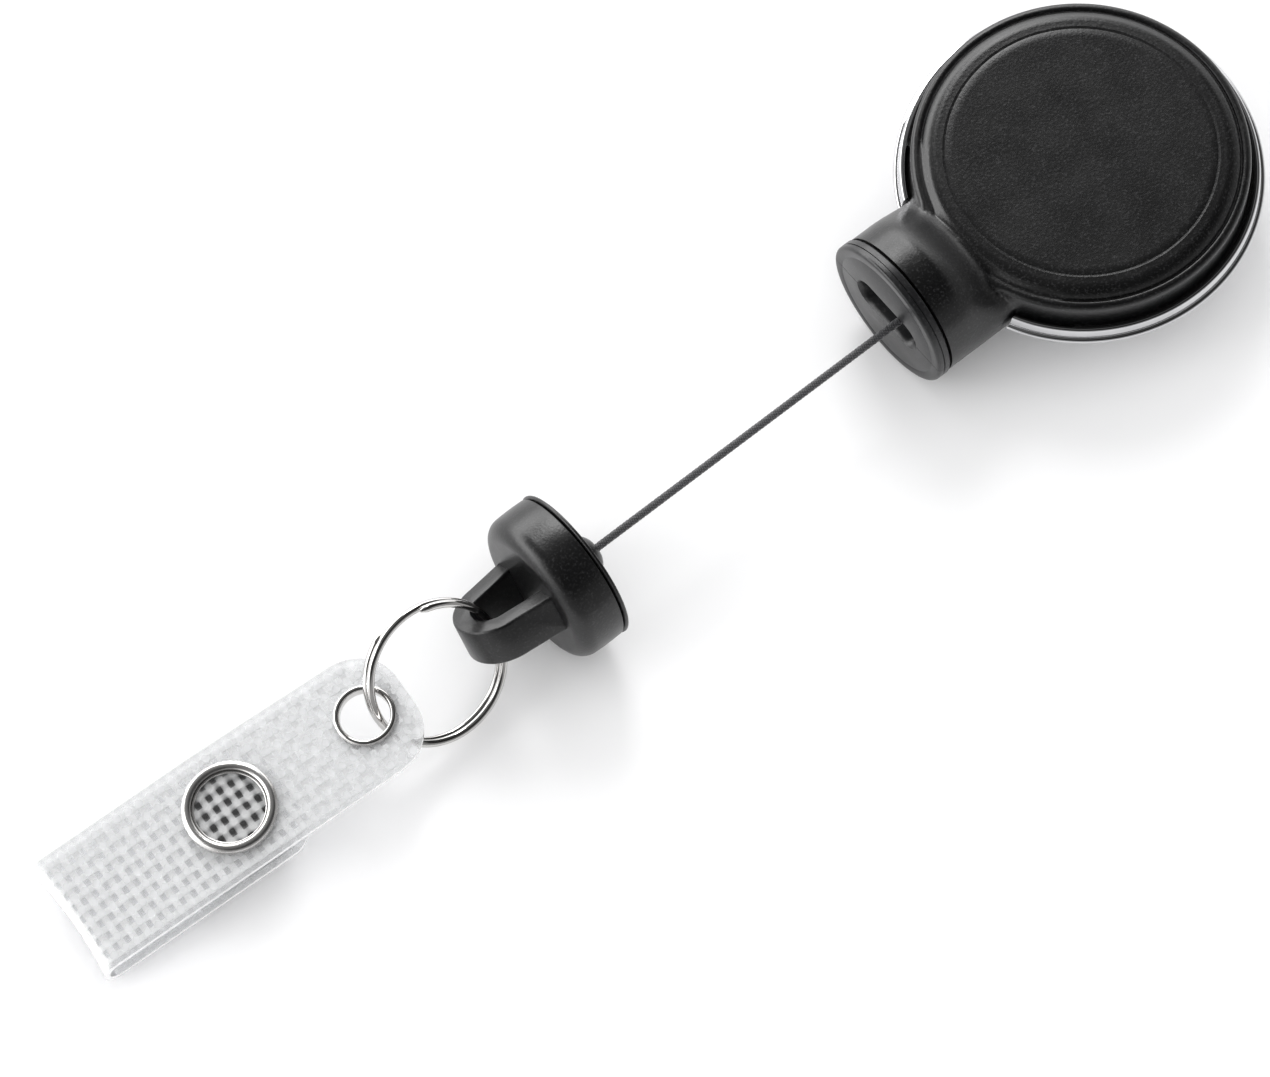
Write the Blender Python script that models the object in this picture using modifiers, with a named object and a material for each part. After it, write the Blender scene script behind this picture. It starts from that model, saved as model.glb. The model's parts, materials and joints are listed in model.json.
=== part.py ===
"""Retractable badge reel: clip-on case, pull cord, swivelling stopper, split ring and vinyl strap.

Dimensions are in millimetres and the helpers below turn them into metres. +Z is up: the reel lies
on its belt clip with its face up, and the cord leaves the neck towards -X. The origin is the middle
of the object's footprint, at the surface that it lies on.
"""

import math

import bmesh
import bpy
from mathutils import Vector

MM = 0.001
GAP = 0.3  # kept between pieces that touch

# Where the assemblies stand
REEL_X = 54.17  # axis of the drum and of the round case
PULL_Z = 8.2  # height of the neck's axis and of the cord
CORD_Y = -1.3  # the cord leaves the slot a little to one side of the neck's axis
STOPPER_X = REEL_X - 65.65  # cord side of the stopper's lid
STOPPER_ROLL = math.radians(-37)
RING_CENTRE = (REEL_X - 83.45, -1.4, 7.6)
RING_ROLL = math.radians(51)
EYELET_CENTRE = (REEL_X - 91.75, -0.8, 7.8)
STRAP_YAW = math.radians(-5.0)
STRAP_SLOPE = math.radians(-7)

# Round case
SHELL_RADIUS = 16.95
DISH_RADIUS = 18.55
FACE_RADIUS = 13.8
FACE_Z = 12.6
CAVITY_RADIUS = 15.6
CAVITY_TOP = 11.4
CASE_RADIUS = 15.2
CASE_TOP = 11.1
CASE_BOTTOM = 4.2
DISH_BOTTOM = 3.0
DISH_WALL = 0.5

# Neck and its mouth, along the pull axis from the reel's axis
NECK_RADIUS = 8.0
NECK_END = -22.8
NECK_FLAT_TOP = 4.6  # how far the neck's top stands over its axis where it meets the face
NECK_WALL = 0.9
FLANGE_RADIUS = 8.1
FLANGE_FACE = -25.05
FLANGE_BACK = -23.6
SLOT_HALF_WIDTH = 4.2
SLOT_HALF_HEIGHT = 1.7

# Drum, spring and cord
DRUM_RADIUS = 13.2
HUB_RADIUS = 10.0
CUP_RADIUS = 9.2
WOUND_RADIUS = 11.8
ARBOR_RADIUS = 2.2
BORE_RADIUS = 2.5
RIVET_RADIUS = 1.0
SPRING_TURNS = 6
SPRING_THICKNESS = 0.2
CORD_RADIUS = 0.42
CORD_STEP = 1.8
CORD_ROUTE = [(-8.0, -9.6), (-10.3, -7.7), (-12.6, -5.8), (-14.9, -3.9), (-16.4, -2.65), (-17.6, -1.85),
              (-18.9, -1.42), (-20.4, -1.3), (-23.5, -1.3), (-27.0, -1.3), (-32.0, -1.3), (-38.0, -1.3),
              (-45.0, -1.3), (-52.0, -1.3), (-59.0, -1.3), (-66.55, -1.3)]
PIN_X = -18.0
PIN_Y = 3.2
PIN_RADIUS = 0.6

# Belt clip
CLIP_WIDTH = 9.0
CLIP_SHEET = 0.8
CLIP_BEND_X = 13.0

# Stopper
STOPPER_RADIUS = 8.2
STOPPER_LENGTH = 5.6
LOOP_TIP = 13.85  # from the lid's cord side
LOOP_THICKNESS = 4.2

# Ring and strap
RING_RADIUS = 7.2
RING_WIRE = 0.27
RING_PITCH = 0.6
STRAP_WIDTH = 13.3
STRAP_SHEET = 0.55
STRAP_END = -4.7
FOLD_X = 33.5
FOLD_RADIUS = 1.4
SNAP_X = 15.9
TAIL_DROP = 2.7
TAIL_END = 10.2
EYELET_RADIUS = 2.5
SNAP_RADIUS = 4.75

SEGMENTS = 40  # round the case
SMALL_SEGMENTS = 24  # round the small turned pieces
SIDES = 28  # round the neck and the slot


# ---------------------------------------------------------------- scene and helpers


def clear_scene():
    for obj in list(bpy.data.objects):
        bpy.data.objects.remove(obj, do_unlink=True)


def new_collection(name):
    collection = bpy.data.collections.new(name)
    bpy.context.scene.collection.children.link(collection)
    return collection


clear_scene()
PARTS = new_collection("badge_reel")
CUTTERS = new_collection("cutters")


def finish_of(name, colour, roughness, metallic=0.0):
    material = bpy.data.materials.new(name)
    material.use_nodes = True
    shader = material.node_tree.nodes["Principled BSDF"]
    shader.inputs["Base Color"].default_value = (*colour, 1.0)
    shader.inputs["Roughness"].default_value = roughness
    shader.inputs["Metallic"].default_value = metallic
    return material


def add_object(name, data, finish, at=(0, 0, 0), turn=(0, 0, 0), parent=None):
    """A piece in the parts collection or, with no finish, a hidden cutter."""
    obj = bpy.data.objects.new(name, data)
    (PARTS if finish else CUTTERS).objects.link(obj)
    obj.location = Vector(at) * MM
    obj.rotation_euler = turn
    obj.parent = parent
    if finish:
        data.materials.append(finish)
    else:
        obj.hide_render = True
        obj.display_type = "WIRE"
    return obj


def pivot(name, at, turn=(0, 0, 0)):
    empty = bpy.data.objects.new(name, None)
    PARTS.objects.link(empty)
    empty.location = Vector(at) * MM
    empty.rotation_euler = turn
    return empty


def mesh_from(name, bm):
    bmesh.ops.recalc_face_normals(bm, faces=bm.faces)
    mesh = bpy.data.meshes.new(name)
    bm.to_mesh(mesh)
    bm.free()
    return mesh


def arc(centre_r, centre_z, radius, start, end, count=5):
    """Points of an arc in a profile, from one angle to another in degrees."""
    points = []
    for i in range(count + 1):
        angle = math.radians(start + (end - start) * i / count)
        points.append((centre_r + radius * math.cos(angle), centre_z + radius * math.sin(angle)))
    return points


def turned(name, profile, finish, closed=False, steps=SEGMENTS, **place):
    """A (radius, height) profile turned about Z; closed profiles are rings."""
    mesh = bpy.data.meshes.new(name)
    points = [(r * MM, 0, z * MM) for r, z in profile]
    edges = [(i, i + 1) for i in range(len(points) - 1)]
    if closed:
        edges.append((len(points) - 1, 0))
    mesh.from_pydata(points, edges, [])
    obj = add_object(name, mesh, finish, **place)
    screw = obj.modifiers.new("Turn", "SCREW")
    screw.axis = "Z"
    screw.steps = steps
    screw.render_steps = steps
    screw.use_merge_vertices = True
    screw.merge_threshold = 0.00001
    screw.use_smooth_shade = False
    return obj


def cylinder(name, radius, length, finish, steps=SEGMENTS, **place):
    bm = bmesh.new()
    bmesh.ops.create_cone(bm, cap_ends=True, segments=steps, radius1=radius * MM, radius2=radius * MM,
                          depth=length * MM)
    return add_object(name, mesh_from(name, bm), finish, **place)


def box(name, low, high, **place):
    bm = bmesh.new()
    bmesh.ops.create_cube(bm, size=1.0)
    low, high = Vector(low) * MM, Vector(high) * MM
    bmesh.ops.scale(bm, vec=high - low, verts=bm.verts)
    bmesh.ops.translate(bm, vec=(low + high) / 2, verts=bm.verts)
    return add_object(name, mesh_from(name, bm), None, **place)


def extruded(name, outline, thickness, finish, edge=0.0, **place):
    """A closed flat outline in local XY, as thick as stated about its plane, made a mesh."""
    curve = bpy.data.curves.new(name, "CURVE")
    curve.dimensions = "2D"
    curve.fill_mode = "BOTH"
    curve.extrude = thickness / 2 * MM
    spline = curve.splines.new("POLY")
    spline.points.add(len(outline) - 1)
    for point, (x, y) in zip(spline.points, outline):
        point.co = (x * MM, y * MM, 0, 1)
    spline.use_cyclic_u = True
    obj = as_mesh(name, curve, finish, place)
    if edge:
        add_bevel(obj, edge)
    return obj


def tube(name, points, radius, finish, **place):
    curve = bpy.data.curves.new(name, "CURVE")
    curve.dimensions = "3D"
    curve.bevel_depth = radius * MM
    curve.bevel_resolution = 2
    curve.use_fill_caps = True
    spline = curve.splines.new("POLY")
    spline.points.add(len(points) - 1)
    for point, place_mm in zip(spline.points, points):
        point.co = (*(Vector(place_mm) * MM), 1)
    return as_mesh(name, curve, finish, place)


def as_mesh(name, curve, finish, place):
    """The curve's own surface as a mesh, with its caps welded on."""
    helper = bpy.data.objects.new(name + "_curve", curve)
    CUTTERS.objects.link(helper)
    bpy.context.view_layer.update()
    graph = bpy.context.evaluated_depsgraph_get()
    mesh = bpy.data.meshes.new_from_object(helper.evaluated_get(graph))
    bpy.data.objects.remove(helper, do_unlink=True)
    bm = bmesh.new()
    bm.from_mesh(mesh)
    bmesh.ops.remove_doubles(bm, verts=bm.verts, dist=0.000001)
    bmesh.ops.recalc_face_normals(bm, faces=bm.faces)
    bm.to_mesh(mesh)
    bm.free()
    mesh.materials.clear()
    return add_object(name, mesh, finish, **place)


def lofted(name, sections, finish, **place):
    """A solid through (x, outline) sections, each outline a list of as many (y, z) points."""
    bm = bmesh.new()
    rings = [[bm.verts.new(Vector((x, y, z)) * MM) for y, z in outline] for x, outline in sections]
    for ring, following in zip(rings, rings[1:]):
        for i in range(len(ring)):
            j = (i + 1) % len(ring)
            bm.faces.new((ring[i], ring[j], following[j], following[i]))
    bm.faces.new(rings[0])
    bm.faces.new(rings[-1])
    return add_object(name, mesh_from(name, bm), finish, **place)


def boolean(obj, other, operation="DIFFERENCE"):
    modifier = obj.modifiers.new(other.name, "BOOLEAN")
    modifier.operation = operation
    modifier.object = other


def add_bevel(obj, width, segments=2):
    bevel = obj.modifiers.new("Edges", "BEVEL")
    bevel.width = width * MM
    bevel.segments = segments
    bevel.limit_method = "ANGLE"
    bevel.angle_limit = math.radians(40)


def smooth(obj):
    obj.data.shade_smooth()
    obj.data.set_sharp_from_angle(angle=math.radians(35))


# ---------------------------------------------------------------- finishes

BLACK_PLASTIC = finish_of("black_plastic", (0.018, 0.018, 0.019), 0.42)
INNER_PLASTIC = finish_of("inner_plastic", (0.03, 0.03, 0.032), 0.5)
DRUM_PLASTIC = finish_of("drum_plastic", (0.72, 0.72, 0.7), 0.4)
CHROME = finish_of("chrome", (0.86, 0.86, 0.87), 0.06, 1.0)
NICKEL = finish_of("nickel", (0.74, 0.73, 0.71), 0.16, 1.0)
STEEL = finish_of("spring_steel", (0.45, 0.46, 0.48), 0.3, 1.0)
CORD_FIBRE = finish_of("cord_fibre", (0.02, 0.02, 0.022), 0.8)
VINYL = finish_of("clear_vinyl", (0.86, 0.87, 0.88), 0.18)


# ---------------------------------------------------------------- neck sections


def neck_top(x):
    """Height of the neck's top over its axis: full at the mouth, easing down to the face."""
    t = min(max((x + 21.0) / 6.2, 0.0), 1.0)
    ease = t * t * (3 - 2 * t)
    return NECK_RADIUS + (NECK_FLAT_TOP - NECK_RADIUS) * ease


def oval(half_width, top, bottom):
    """An outline about the pull axis with its own height above and below."""
    points = []
    for i in range(SIDES):
        angle = 2 * math.pi * i / SIDES
        rise = top if math.sin(angle) > 0 else bottom
        points.append((half_width * math.cos(angle), rise * math.sin(angle)))
    return points


def stadium(half_width, half_height):
    points = []
    reach = half_width - half_height
    for i in range(SIDES):
        angle = 2 * math.pi * (i + 0.5) / SIDES
        shift = math.copysign(reach, math.cos(angle))
        points.append((shift + half_height * math.cos(angle), half_height * math.sin(angle)))
    return points


def neck_loft(name, start, end, radius, under_top, finish=None):
    """The neck's outside, or with a smaller radius and a lower top its bore or what fills it."""
    count = 7
    sections = []
    for i in range(count + 1):
        x = start + (end - start) * i / count
        sections.append((x, oval(radius, neck_top(x) - under_top, radius)))
    return lofted(name, sections, finish, at=(REEL_X, 0, PULL_Z))


# ---------------------------------------------------------------- front shell


def front_shell():
    """Black moulded front: round cup, recessed flat face, stepped shoulder and the neck."""
    profile = [(0, FACE_Z), (FACE_RADIUS, FACE_Z), (FACE_RADIUS + 0.1, FACE_Z + 0.2)]
    profile += arc(FACE_RADIUS + 1.3, FACE_Z - 0.7, 0.9, 90, 8, 4)
    profile += [(SHELL_RADIUS - 0.85, FACE_Z - 0.68)]
    profile += arc(SHELL_RADIUS - 0.65, FACE_Z - 1.35, 0.65, 88, 0, 3)
    profile += [(SHELL_RADIUS, 7.7), (0, 7.7)]
    shell = turned("front_shell", profile, BLACK_PLASTIC, at=(REEL_X, 0, 0))
    neck = neck_loft("neck_outside", NECK_END, -12.5, NECK_RADIUS, 0.0)
    cavity = turned("shell_cavity", [(0, CAVITY_TOP), (CAVITY_RADIUS, CAVITY_TOP),
                                     (CAVITY_RADIUS, -2), (0, -2)], None, at=(REEL_X, 0, 0))
    bore = neck_loft("neck_bore", NECK_END - 0.5, -11.5, NECK_RADIUS - NECK_WALL, NECK_WALL)
    boolean(shell, neck, "UNION")
    boolean(shell, cavity)
    boolean(shell, bore)
    return shell


# ---------------------------------------------------------------- rear dish


def rear_dish():
    """Chrome sheet dish with a rolled rim, cut away where the neck passes."""
    edge = DISH_RADIUS
    outer = [(edge - 1.0, 8.85), (edge - 0.65, 8.75), (edge - 0.45, 8.4), (edge - 0.4, 8.0),
             (edge - 0.38, 7.75)]
    outer += arc(edge - 0.35, 7.3, 0.35, 70, -80, 4)
    outer += [(edge - 0.8, 6.85), (edge - 1.2, 6.4), (edge - 2.1, 5.0), (edge - 3.7, 3.6),
              (edge - 5.6, DISH_BOTTOM + 0.05), (edge - 7.0, DISH_BOTTOM), (1.3, DISH_BOTTOM)]
    inner = [(1.3, DISH_BOTTOM + DISH_WALL), (edge - 7.0, DISH_BOTTOM + DISH_WALL), (edge - 5.7, 3.6),
             (edge - 4.0, 4.1), (edge - 2.5, 5.4), (edge - 1.65, 6.7), (edge - 1.3, 7.6),
             (edge - 1.25, 8.6)]
    dish = turned("rear_dish", outer + inner, CHROME, closed=True, at=(REEL_X, 0, 0))
    notch = cylinder("neck_notch", NECK_RADIUS + 0.35, 10.0, None,
                     at=(REEL_X - 18.1, 0, PULL_Z), turn=(0, math.pi / 2, 0))
    boolean(dish, notch)
    return dish


# ---------------------------------------------------------------- inner case halves


def slot_cutter():
    """The cord's way out: a flared slot that widens towards the drum."""
    sections = [(FLANGE_FACE - 0.2, stadium(SLOT_HALF_WIDTH + 0.6, SLOT_HALF_HEIGHT + 0.6)),
                (FLANGE_FACE + 0.5, stadium(SLOT_HALF_WIDTH, SLOT_HALF_HEIGHT)),
                (-20.5, stadium(SLOT_HALF_WIDTH, SLOT_HALF_HEIGHT)),
                (-12.4, stadium(7.0, 1.9))]
    return lofted("cord_slot", sections, None, at=(REEL_X, 0, PULL_Z))


def flange_solid():
    """The round mouth flange, with a rounded front edge and a fine step round its side."""
    length = FLANGE_BACK - FLANGE_FACE
    profile = [(0, length), (FLANGE_RADIUS - 0.4, length)]
    profile += arc(FLANGE_RADIUS - 0.4, length - 0.4, 0.4, 70, 0, 3)
    profile += [(FLANGE_RADIUS, 0.85), (FLANGE_RADIUS - 0.12, 0.8), (FLANGE_RADIUS - 0.12, 0.7),
                (FLANGE_RADIUS, 0.65), (FLANGE_RADIUS, 0.0), (0, 0)]
    return turned("mouth_flange", profile, None, at=(REEL_X + FLANGE_BACK, 0, PULL_Z),
                  turn=(0, -math.pi / 2, 0))


def case_half(name, cut_low, cut_high, cutters):
    """One half of the inner case: drum chamber, duct through the neck, and half of the flange."""
    profile = [(0, CASE_TOP), (CASE_RADIUS - 0.5, CASE_TOP), (CASE_RADIUS, CASE_TOP - 0.5),
               (CASE_RADIUS, 5.8), (CASE_RADIUS - 1.5, CASE_BOTTOM), (0, CASE_BOTTOM)]
    half = turned(name, profile, INNER_PLASTIC, at=(REEL_X, 0, 0))
    duct, flange, chamber, slot, bore = cutters
    boolean(half, duct, "UNION")
    boolean(half, flange, "UNION")
    boolean(half, chamber)
    boolean(half, slot)
    boolean(half, bore)
    other_side = box(name + "_cut", (-30, -20, cut_low), (20, 20, cut_high), at=(REEL_X, 0, 0))
    boolean(half, other_side)
    return half


def case_halves():
    duct = neck_loft("duct_outside", FLANGE_BACK - 0.3, -14.1, NECK_RADIUS - NECK_WALL - GAP, 1.8)
    hollow = [(0, 10.2), (CASE_RADIUS - 0.9, 10.2), (CASE_RADIUS - 0.9, 6.2), (CASE_RADIUS - 1.8, 5.1), (0, 5.1)]
    chamber = turned("drum_chamber", hollow, None,
                     at=(REEL_X, 0, 0))
    bore = cylinder("arbor_hole", BORE_RADIUS, 10.0, None, steps=SMALL_SEGMENTS, at=(REEL_X, 0, 8.0))
    cutters = (duct, flange_solid(), chamber, slot_cutter(), bore)
    case_half("case_front", -5, PULL_Z + GAP / 2, cutters)
    case_half("case_rear", PULL_Z - GAP / 2, 25, cutters)


def guide_pins():
    """Two steel pins across the duct keep the cord in line with the mouth."""
    for name, side in (("guide_pin_left", 1), ("guide_pin_right", -1)):
        pin = cylinder(name, PIN_RADIUS, 2.9, STEEL, steps=20,
                       at=(REEL_X + PIN_X, side * PIN_Y, PULL_Z))
        smooth(pin)


# ---------------------------------------------------------------- drum, arbor and spring


def drum():
    """Two-flanged drum: cord channel outside its hub, open spring cup underneath."""
    profile = [(BORE_RADIUS, 9.9), (DRUM_RADIUS, 9.9), (DRUM_RADIUS, 9.3), (HUB_RADIUS, 9.3),
               (HUB_RADIUS, 6.2), (DRUM_RADIUS, 6.2), (DRUM_RADIUS, 5.6), (CUP_RADIUS, 5.6),
               (CUP_RADIUS, 9.3), (BORE_RADIUS, 9.3)]
    turned("drum", profile, DRUM_PLASTIC, closed=True, at=(REEL_X, 0, 0))


def spring_cover():
    """Thin disc that closes the spring cup."""
    profile = [(BORE_RADIUS + 0.1, 5.9), (CUP_RADIUS - GAP, 5.9), (CUP_RADIUS - GAP, 5.6),
               (BORE_RADIUS + 0.1, 5.6)]
    turned("spring_cover", profile, STEEL, closed=True, at=(REEL_X, 0, 0))


def cord_winding():
    """The wound cord as one ring, ridged by its turns."""
    rows, low, high = 3, 6.6, 8.9
    row = (high - low) / rows
    profile = [(HUB_RADIUS + GAP, high)]
    for i in range(rows):
        middle = high - row * (i + 0.5)
        profile += arc(WOUND_RADIUS - 0.3, middle, 0.3, 80, -80, 3)
    profile += [(HUB_RADIUS + GAP, low)]
    turned("cord_winding", profile, CORD_FIBRE, closed=True, at=(REEL_X, 0, 0))


def arbor():
    """Fixed centre post: drilled from below for the rivet, slotted for the spring's tongue."""
    profile = [(0, 10.8), (ARBOR_RADIUS, 10.8), (ARBOR_RADIUS, 3.8), (RIVET_RADIUS + GAP, 3.8),
               (RIVET_RADIUS + GAP, 5.9), (0, 5.9)]
    post = turned("arbor", profile, STEEL, steps=SMALL_SEGMENTS, at=(REEL_X, 0, 0))
    slot = box("arbor_slot", (-3, -0.4, 6.2), (3, 0.4, 11.5), at=(REEL_X, 0, 0))
    boolean(post, slot)


def power_spring():
    """Flat spiral spring: its inner tongue sits in the arbor's slot."""
    start, end = 2.75, CUP_RADIUS - 0.5
    per_turn = 20
    centre_line = [(-1.0, 0.0), (1.6, 0.0)]
    for i in range(SPRING_TURNS * per_turn + 1):
        angle = 2 * math.pi * i / per_turn
        radius = start + (end - start) * i / (SPRING_TURNS * per_turn)
        centre_line.append((radius * math.cos(angle), radius * math.sin(angle)))
    outline = ribbon(centre_line, SPRING_THICKNESS)
    extruded("power_spring", outline, 2.3, STEEL, at=(REEL_X, 0, 7.75))


def ribbon(centre_line, thickness):
    """Both sides of a centre line, as one closed outline."""
    left, right = [], []
    for i, point in enumerate(centre_line):
        before = Vector(centre_line[max(i - 1, 0)])
        after = Vector(centre_line[min(i + 1, len(centre_line) - 1)])
        along = (after - before).normalized()
        across = Vector((-along.y, along.x)) * thickness / 2
        left.append(tuple(Vector(point) + across))
        right.append(tuple(Vector(point) - across))
    return left + right[::-1]


# ---------------------------------------------------------------- cord


def smooth_line(points, step):
    """Points on a smooth curve through the given ones, about a step apart."""
    line = []
    for i in range(len(points) - 1):
        before, a = points[max(i - 1, 0)], points[i]
        b, after = points[i + 1], points[min(i + 2, len(points) - 1)]
        count = max(1, round((b - a).length / step))
        for k in range(count):
            t = k / count
            line.append(0.5 * (2 * a + (b - before) * t + (2 * before - 5 * a + 4 * b - after) * t ** 2
                               + (3 * a - before - 3 * b + after) * t ** 3))
    return line + [points[-1]]


def pull_cord():
    """Off the winding, round a guide pin, then straight along the pull axis into the stopper."""
    route = [Vector((REEL_X + x, y, PULL_Z)) for x, y in CORD_ROUTE]
    smooth(tube("pull_cord", smooth_line(route, CORD_STEP), CORD_RADIUS, CORD_FIBRE))


# ---------------------------------------------------------------- belt clip


def bent_strip(name, centre_line, width, round_end):
    """Sheet metal bent along a side view in XZ, with one rounded end."""
    strip = extruded(name, ribbon(centre_line, CLIP_SHEET), width, STEEL,
                     at=(REEL_X, 0, 0), turn=(math.pi / 2, 0, 0))
    half = width / 2 + 0.5
    corner = half - 0.5
    outline = [(CLIP_BEND_X + 5, -half), (CLIP_BEND_X + 5, half)]
    outline += arc(round_end + corner, 0, corner + 0.02, 90, 270, 12)
    plan = extruded(name + "_plan", outline, 20.0, None, at=(REEL_X, 0, 0))
    boolean(strip, plan, "INTERSECT")
    return strip


def clip_mount():
    """Riveted plate of the belt clip and the bend that it turns back in."""
    line = [(-6.0, 2.3)] + arc(CLIP_BEND_X, 1.35, 0.95, 90, -90, 6) + [(CLIP_BEND_X - GAP, 0.4)]
    mount = bent_strip("clip_mount", line, CLIP_WIDTH, -6.0)
    hole = cylinder("clip_hole", RIVET_RADIUS + GAP, 3.0, None, steps=SMALL_SEGMENTS, at=(REEL_X, 0, 2.6))
    boolean(mount, hole)


def clip_leaf():
    """Springy leaf: a hump that grips against the dish and a lead-in lip."""
    line = [(CLIP_BEND_X - 2 * GAP, 0.4), (-3.0, 0.4), (-6.0, 0.85), (-8.0, 1.5), (-9.5, 1.75),
            (-11.0, 1.45), (-13.6, 0.42)]
    bent_strip("clip_leaf", line, CLIP_WIDTH - 1.0, -13.6)


def clip_rivet():
    """Holds the clip, the dish and the arbor together."""
    profile = [(0, 5.6), (RIVET_RADIUS, 5.6), (RIVET_RADIUS, 1.6), (2.0, 1.6)]
    profile += arc(1.6, 1.5, 0.4, 0, -90, 3) + [(0, 1.1)]
    smooth(turned("clip_rivet", profile, STEEL, steps=SMALL_SEGMENTS, at=(REEL_X, 0, 0)))


# ---------------------------------------------------------------- stopper


def lid_profile():
    """(radius, distance towards the reel) of the stopper's lid and its domed boss."""
    hole = CORD_RADIUS + GAP
    profile = [(hole, 2.4), (1.2, 2.3), (2.1, 1.75), (2.7, 0.9), (2.95, 0.0)]
    profile += [(STOPPER_RADIUS - 0.35, 0.0), (STOPPER_RADIUS, -0.25), (STOPPER_RADIUS - 0.1, -0.5)]
    return profile + [(hole, -0.5)]


def stopper_lid(axis):
    smooth(turned("stopper_lid", lid_profile(), BLACK_PLASTIC, closed=True, parent=axis,
                  at=(STOPPER_X, 0, 0), turn=(0, math.pi / 2, 0)))


def loop_outline():
    """U of the eye loop, seen square on, from the lid's cord side towards the strap."""
    root = STOPPER_LENGTH - 0.7
    outer = arc(LOOP_TIP - 4.5, 0, 4.5, 85, -85, 14)
    inner = arc(LOOP_TIP - 2.0 - 2.3, 0, 2.3, -80, 80, 10)
    points = [(root, 5.3)] + outer + [(root, -5.3), (root, -3.1)] + inner + [(root, 3.1)]
    return [(-x, y) for x, y in points]


def stopper_body(axis):
    """Mushroom cap over the cord's end with the eye loop on its strap side."""
    back, radius = STOPPER_LENGTH, STOPPER_RADIUS - 0.1
    profile = [(0, -0.8), (radius - 0.15, -0.8), (radius, -0.95), (radius, -back + 1.8)]
    profile += arc(radius - 1.8, -back + 1.8, 1.8, -12, -90, 6) + [(0, -back)]
    body = turned("stopper_body", profile, BLACK_PLASTIC, parent=axis,
                  at=(STOPPER_X, 0, 0), turn=(0, math.pi / 2, 0))
    hollow = turned("stopper_hollow", [(0, 0), (5.2, 0), (5.2, -4.0), (0, -4.0)], None, parent=axis,
                    at=(STOPPER_X, 0, 0), turn=(0, math.pi / 2, 0))
    loop = extruded("eye_loop", loop_outline(), LOOP_THICKNESS, None, edge=0.25, parent=axis,
                    at=(STOPPER_X, 0, 0))
    boolean(body, loop, "UNION")
    boolean(body, hollow)


def cord_knot():
    """Crimped end of the cord, held inside the stopper; the stopper turns round it."""
    profile = [(0, 1.1)] + arc(1.1, 0.7, 0.4, 90, 0, 3) + arc(1.1, -0.7, 0.4, 0, -90, 3) + [(0, -1.1)]
    smooth(turned("cord_knot", profile, NICKEL, steps=SMALL_SEGMENTS, at=(STOPPER_X - 2.4, CORD_Y, PULL_Z),
                  turn=(0, math.pi / 2, 0)))


# ---------------------------------------------------------------- split ring


def split_ring():
    """Two turns of wire lying side by side, with the ends opposite the stopper."""
    per_turn, turns = 32, 2
    points = []
    for i in range(per_turn * turns - 3):
        angle = 2 * math.pi * i / per_turn + math.radians(112)
        lift = RING_PITCH * (i / per_turn - turns / 2)
        points.append((RING_RADIUS * math.cos(angle), RING_RADIUS * math.sin(angle), lift))
    smooth(tube("split_ring", points, RING_WIRE, NICKEL, at=RING_CENTRE, turn=(RING_ROLL, 0, 0)))


# ---------------------------------------------------------------- strap


def strap_outline(first, last, radius):
    """Plan of a strap leg in the strap's own frame: square at the fold, rounded at its free end."""
    half = STRAP_WIDTH / 2
    outline = [(last, -half - 1), (last, half + 1), (first + radius, half + 1), (first + radius, half)]
    outline += arc(first + radius, half - radius, radius, 90, 180, 6)
    outline += arc(first + radius, -half + radius, radius, 180, 270, 6)
    outline += [(first + radius, -half), (first + radius, -half - 1)]
    return [(-x, y) for x, y in outline]


def strap_leg(name, centre_line, first, last, radius, holes, frame):
    side_view = [(-x, z) for x, z in ribbon(centre_line, STRAP_SHEET)]
    leg = extruded(name, side_view, STRAP_WIDTH, VINYL, parent=frame, turn=(math.pi / 2, 0, 0))
    plan = extruded(name + "_plan", strap_outline(first, last, radius), 30.0, None, parent=frame)
    boolean(leg, plan, "INTERSECT")
    for x, hole_radius in holes:
        hole = cylinder(f"{name}_hole_{int(x)}", hole_radius, 12.0, None, steps=SMALL_SEGMENTS, parent=frame,
                        at=(-x, 0, 0))
        boolean(leg, hole)


def strap_front(frame):
    """Upper leg of the strap, from its rounded eyelet end round the fold."""
    line = [(STRAP_END, 0.0), (FOLD_X - 2.5, 0.0)]
    line += arc(FOLD_X, -FOLD_RADIUS, FOLD_RADIUS, 90, -90, 10)
    strap_leg("strap_front", line, STRAP_END, FOLD_X + 4, 4.8, [(0, EYELET_RADIUS + 0.35 + 0.2)], frame)


def strap_tail(frame):
    """Lower leg, which the snap holds shut and which opens to take a badge."""
    start = -2 * FOLD_RADIUS
    line = [(TAIL_END, -TAIL_DROP), (22.0, -TAIL_DROP - 0.02), (FOLD_X - GAP, start)]
    strap_leg("strap_tail", line, TAIL_END, FOLD_X + 4, 3.0, [], frame)


def eyelet(frame):
    """Nickel eyelet: rolled rim above, barrel through the strap, spread lips beneath."""
    inner, outer = EYELET_RADIUS, EYELET_RADIUS + 0.2
    top, bottom = STRAP_SHEET / 2 + 0.2, -STRAP_SHEET / 2 - 0.2
    profile = [(inner, top + 0.2)] + arc(inner + 0.35, top + 0.2, 0.3, 120, 0, 4)
    profile += [(inner + 0.65, top), (outer, top), (outer, bottom), (3.2, bottom),
                (3.2, bottom - 0.22), (inner, bottom - 0.22)]
    smooth(turned("eyelet", profile, NICKEL, closed=True, steps=SMALL_SEGMENTS, parent=frame))


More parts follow.
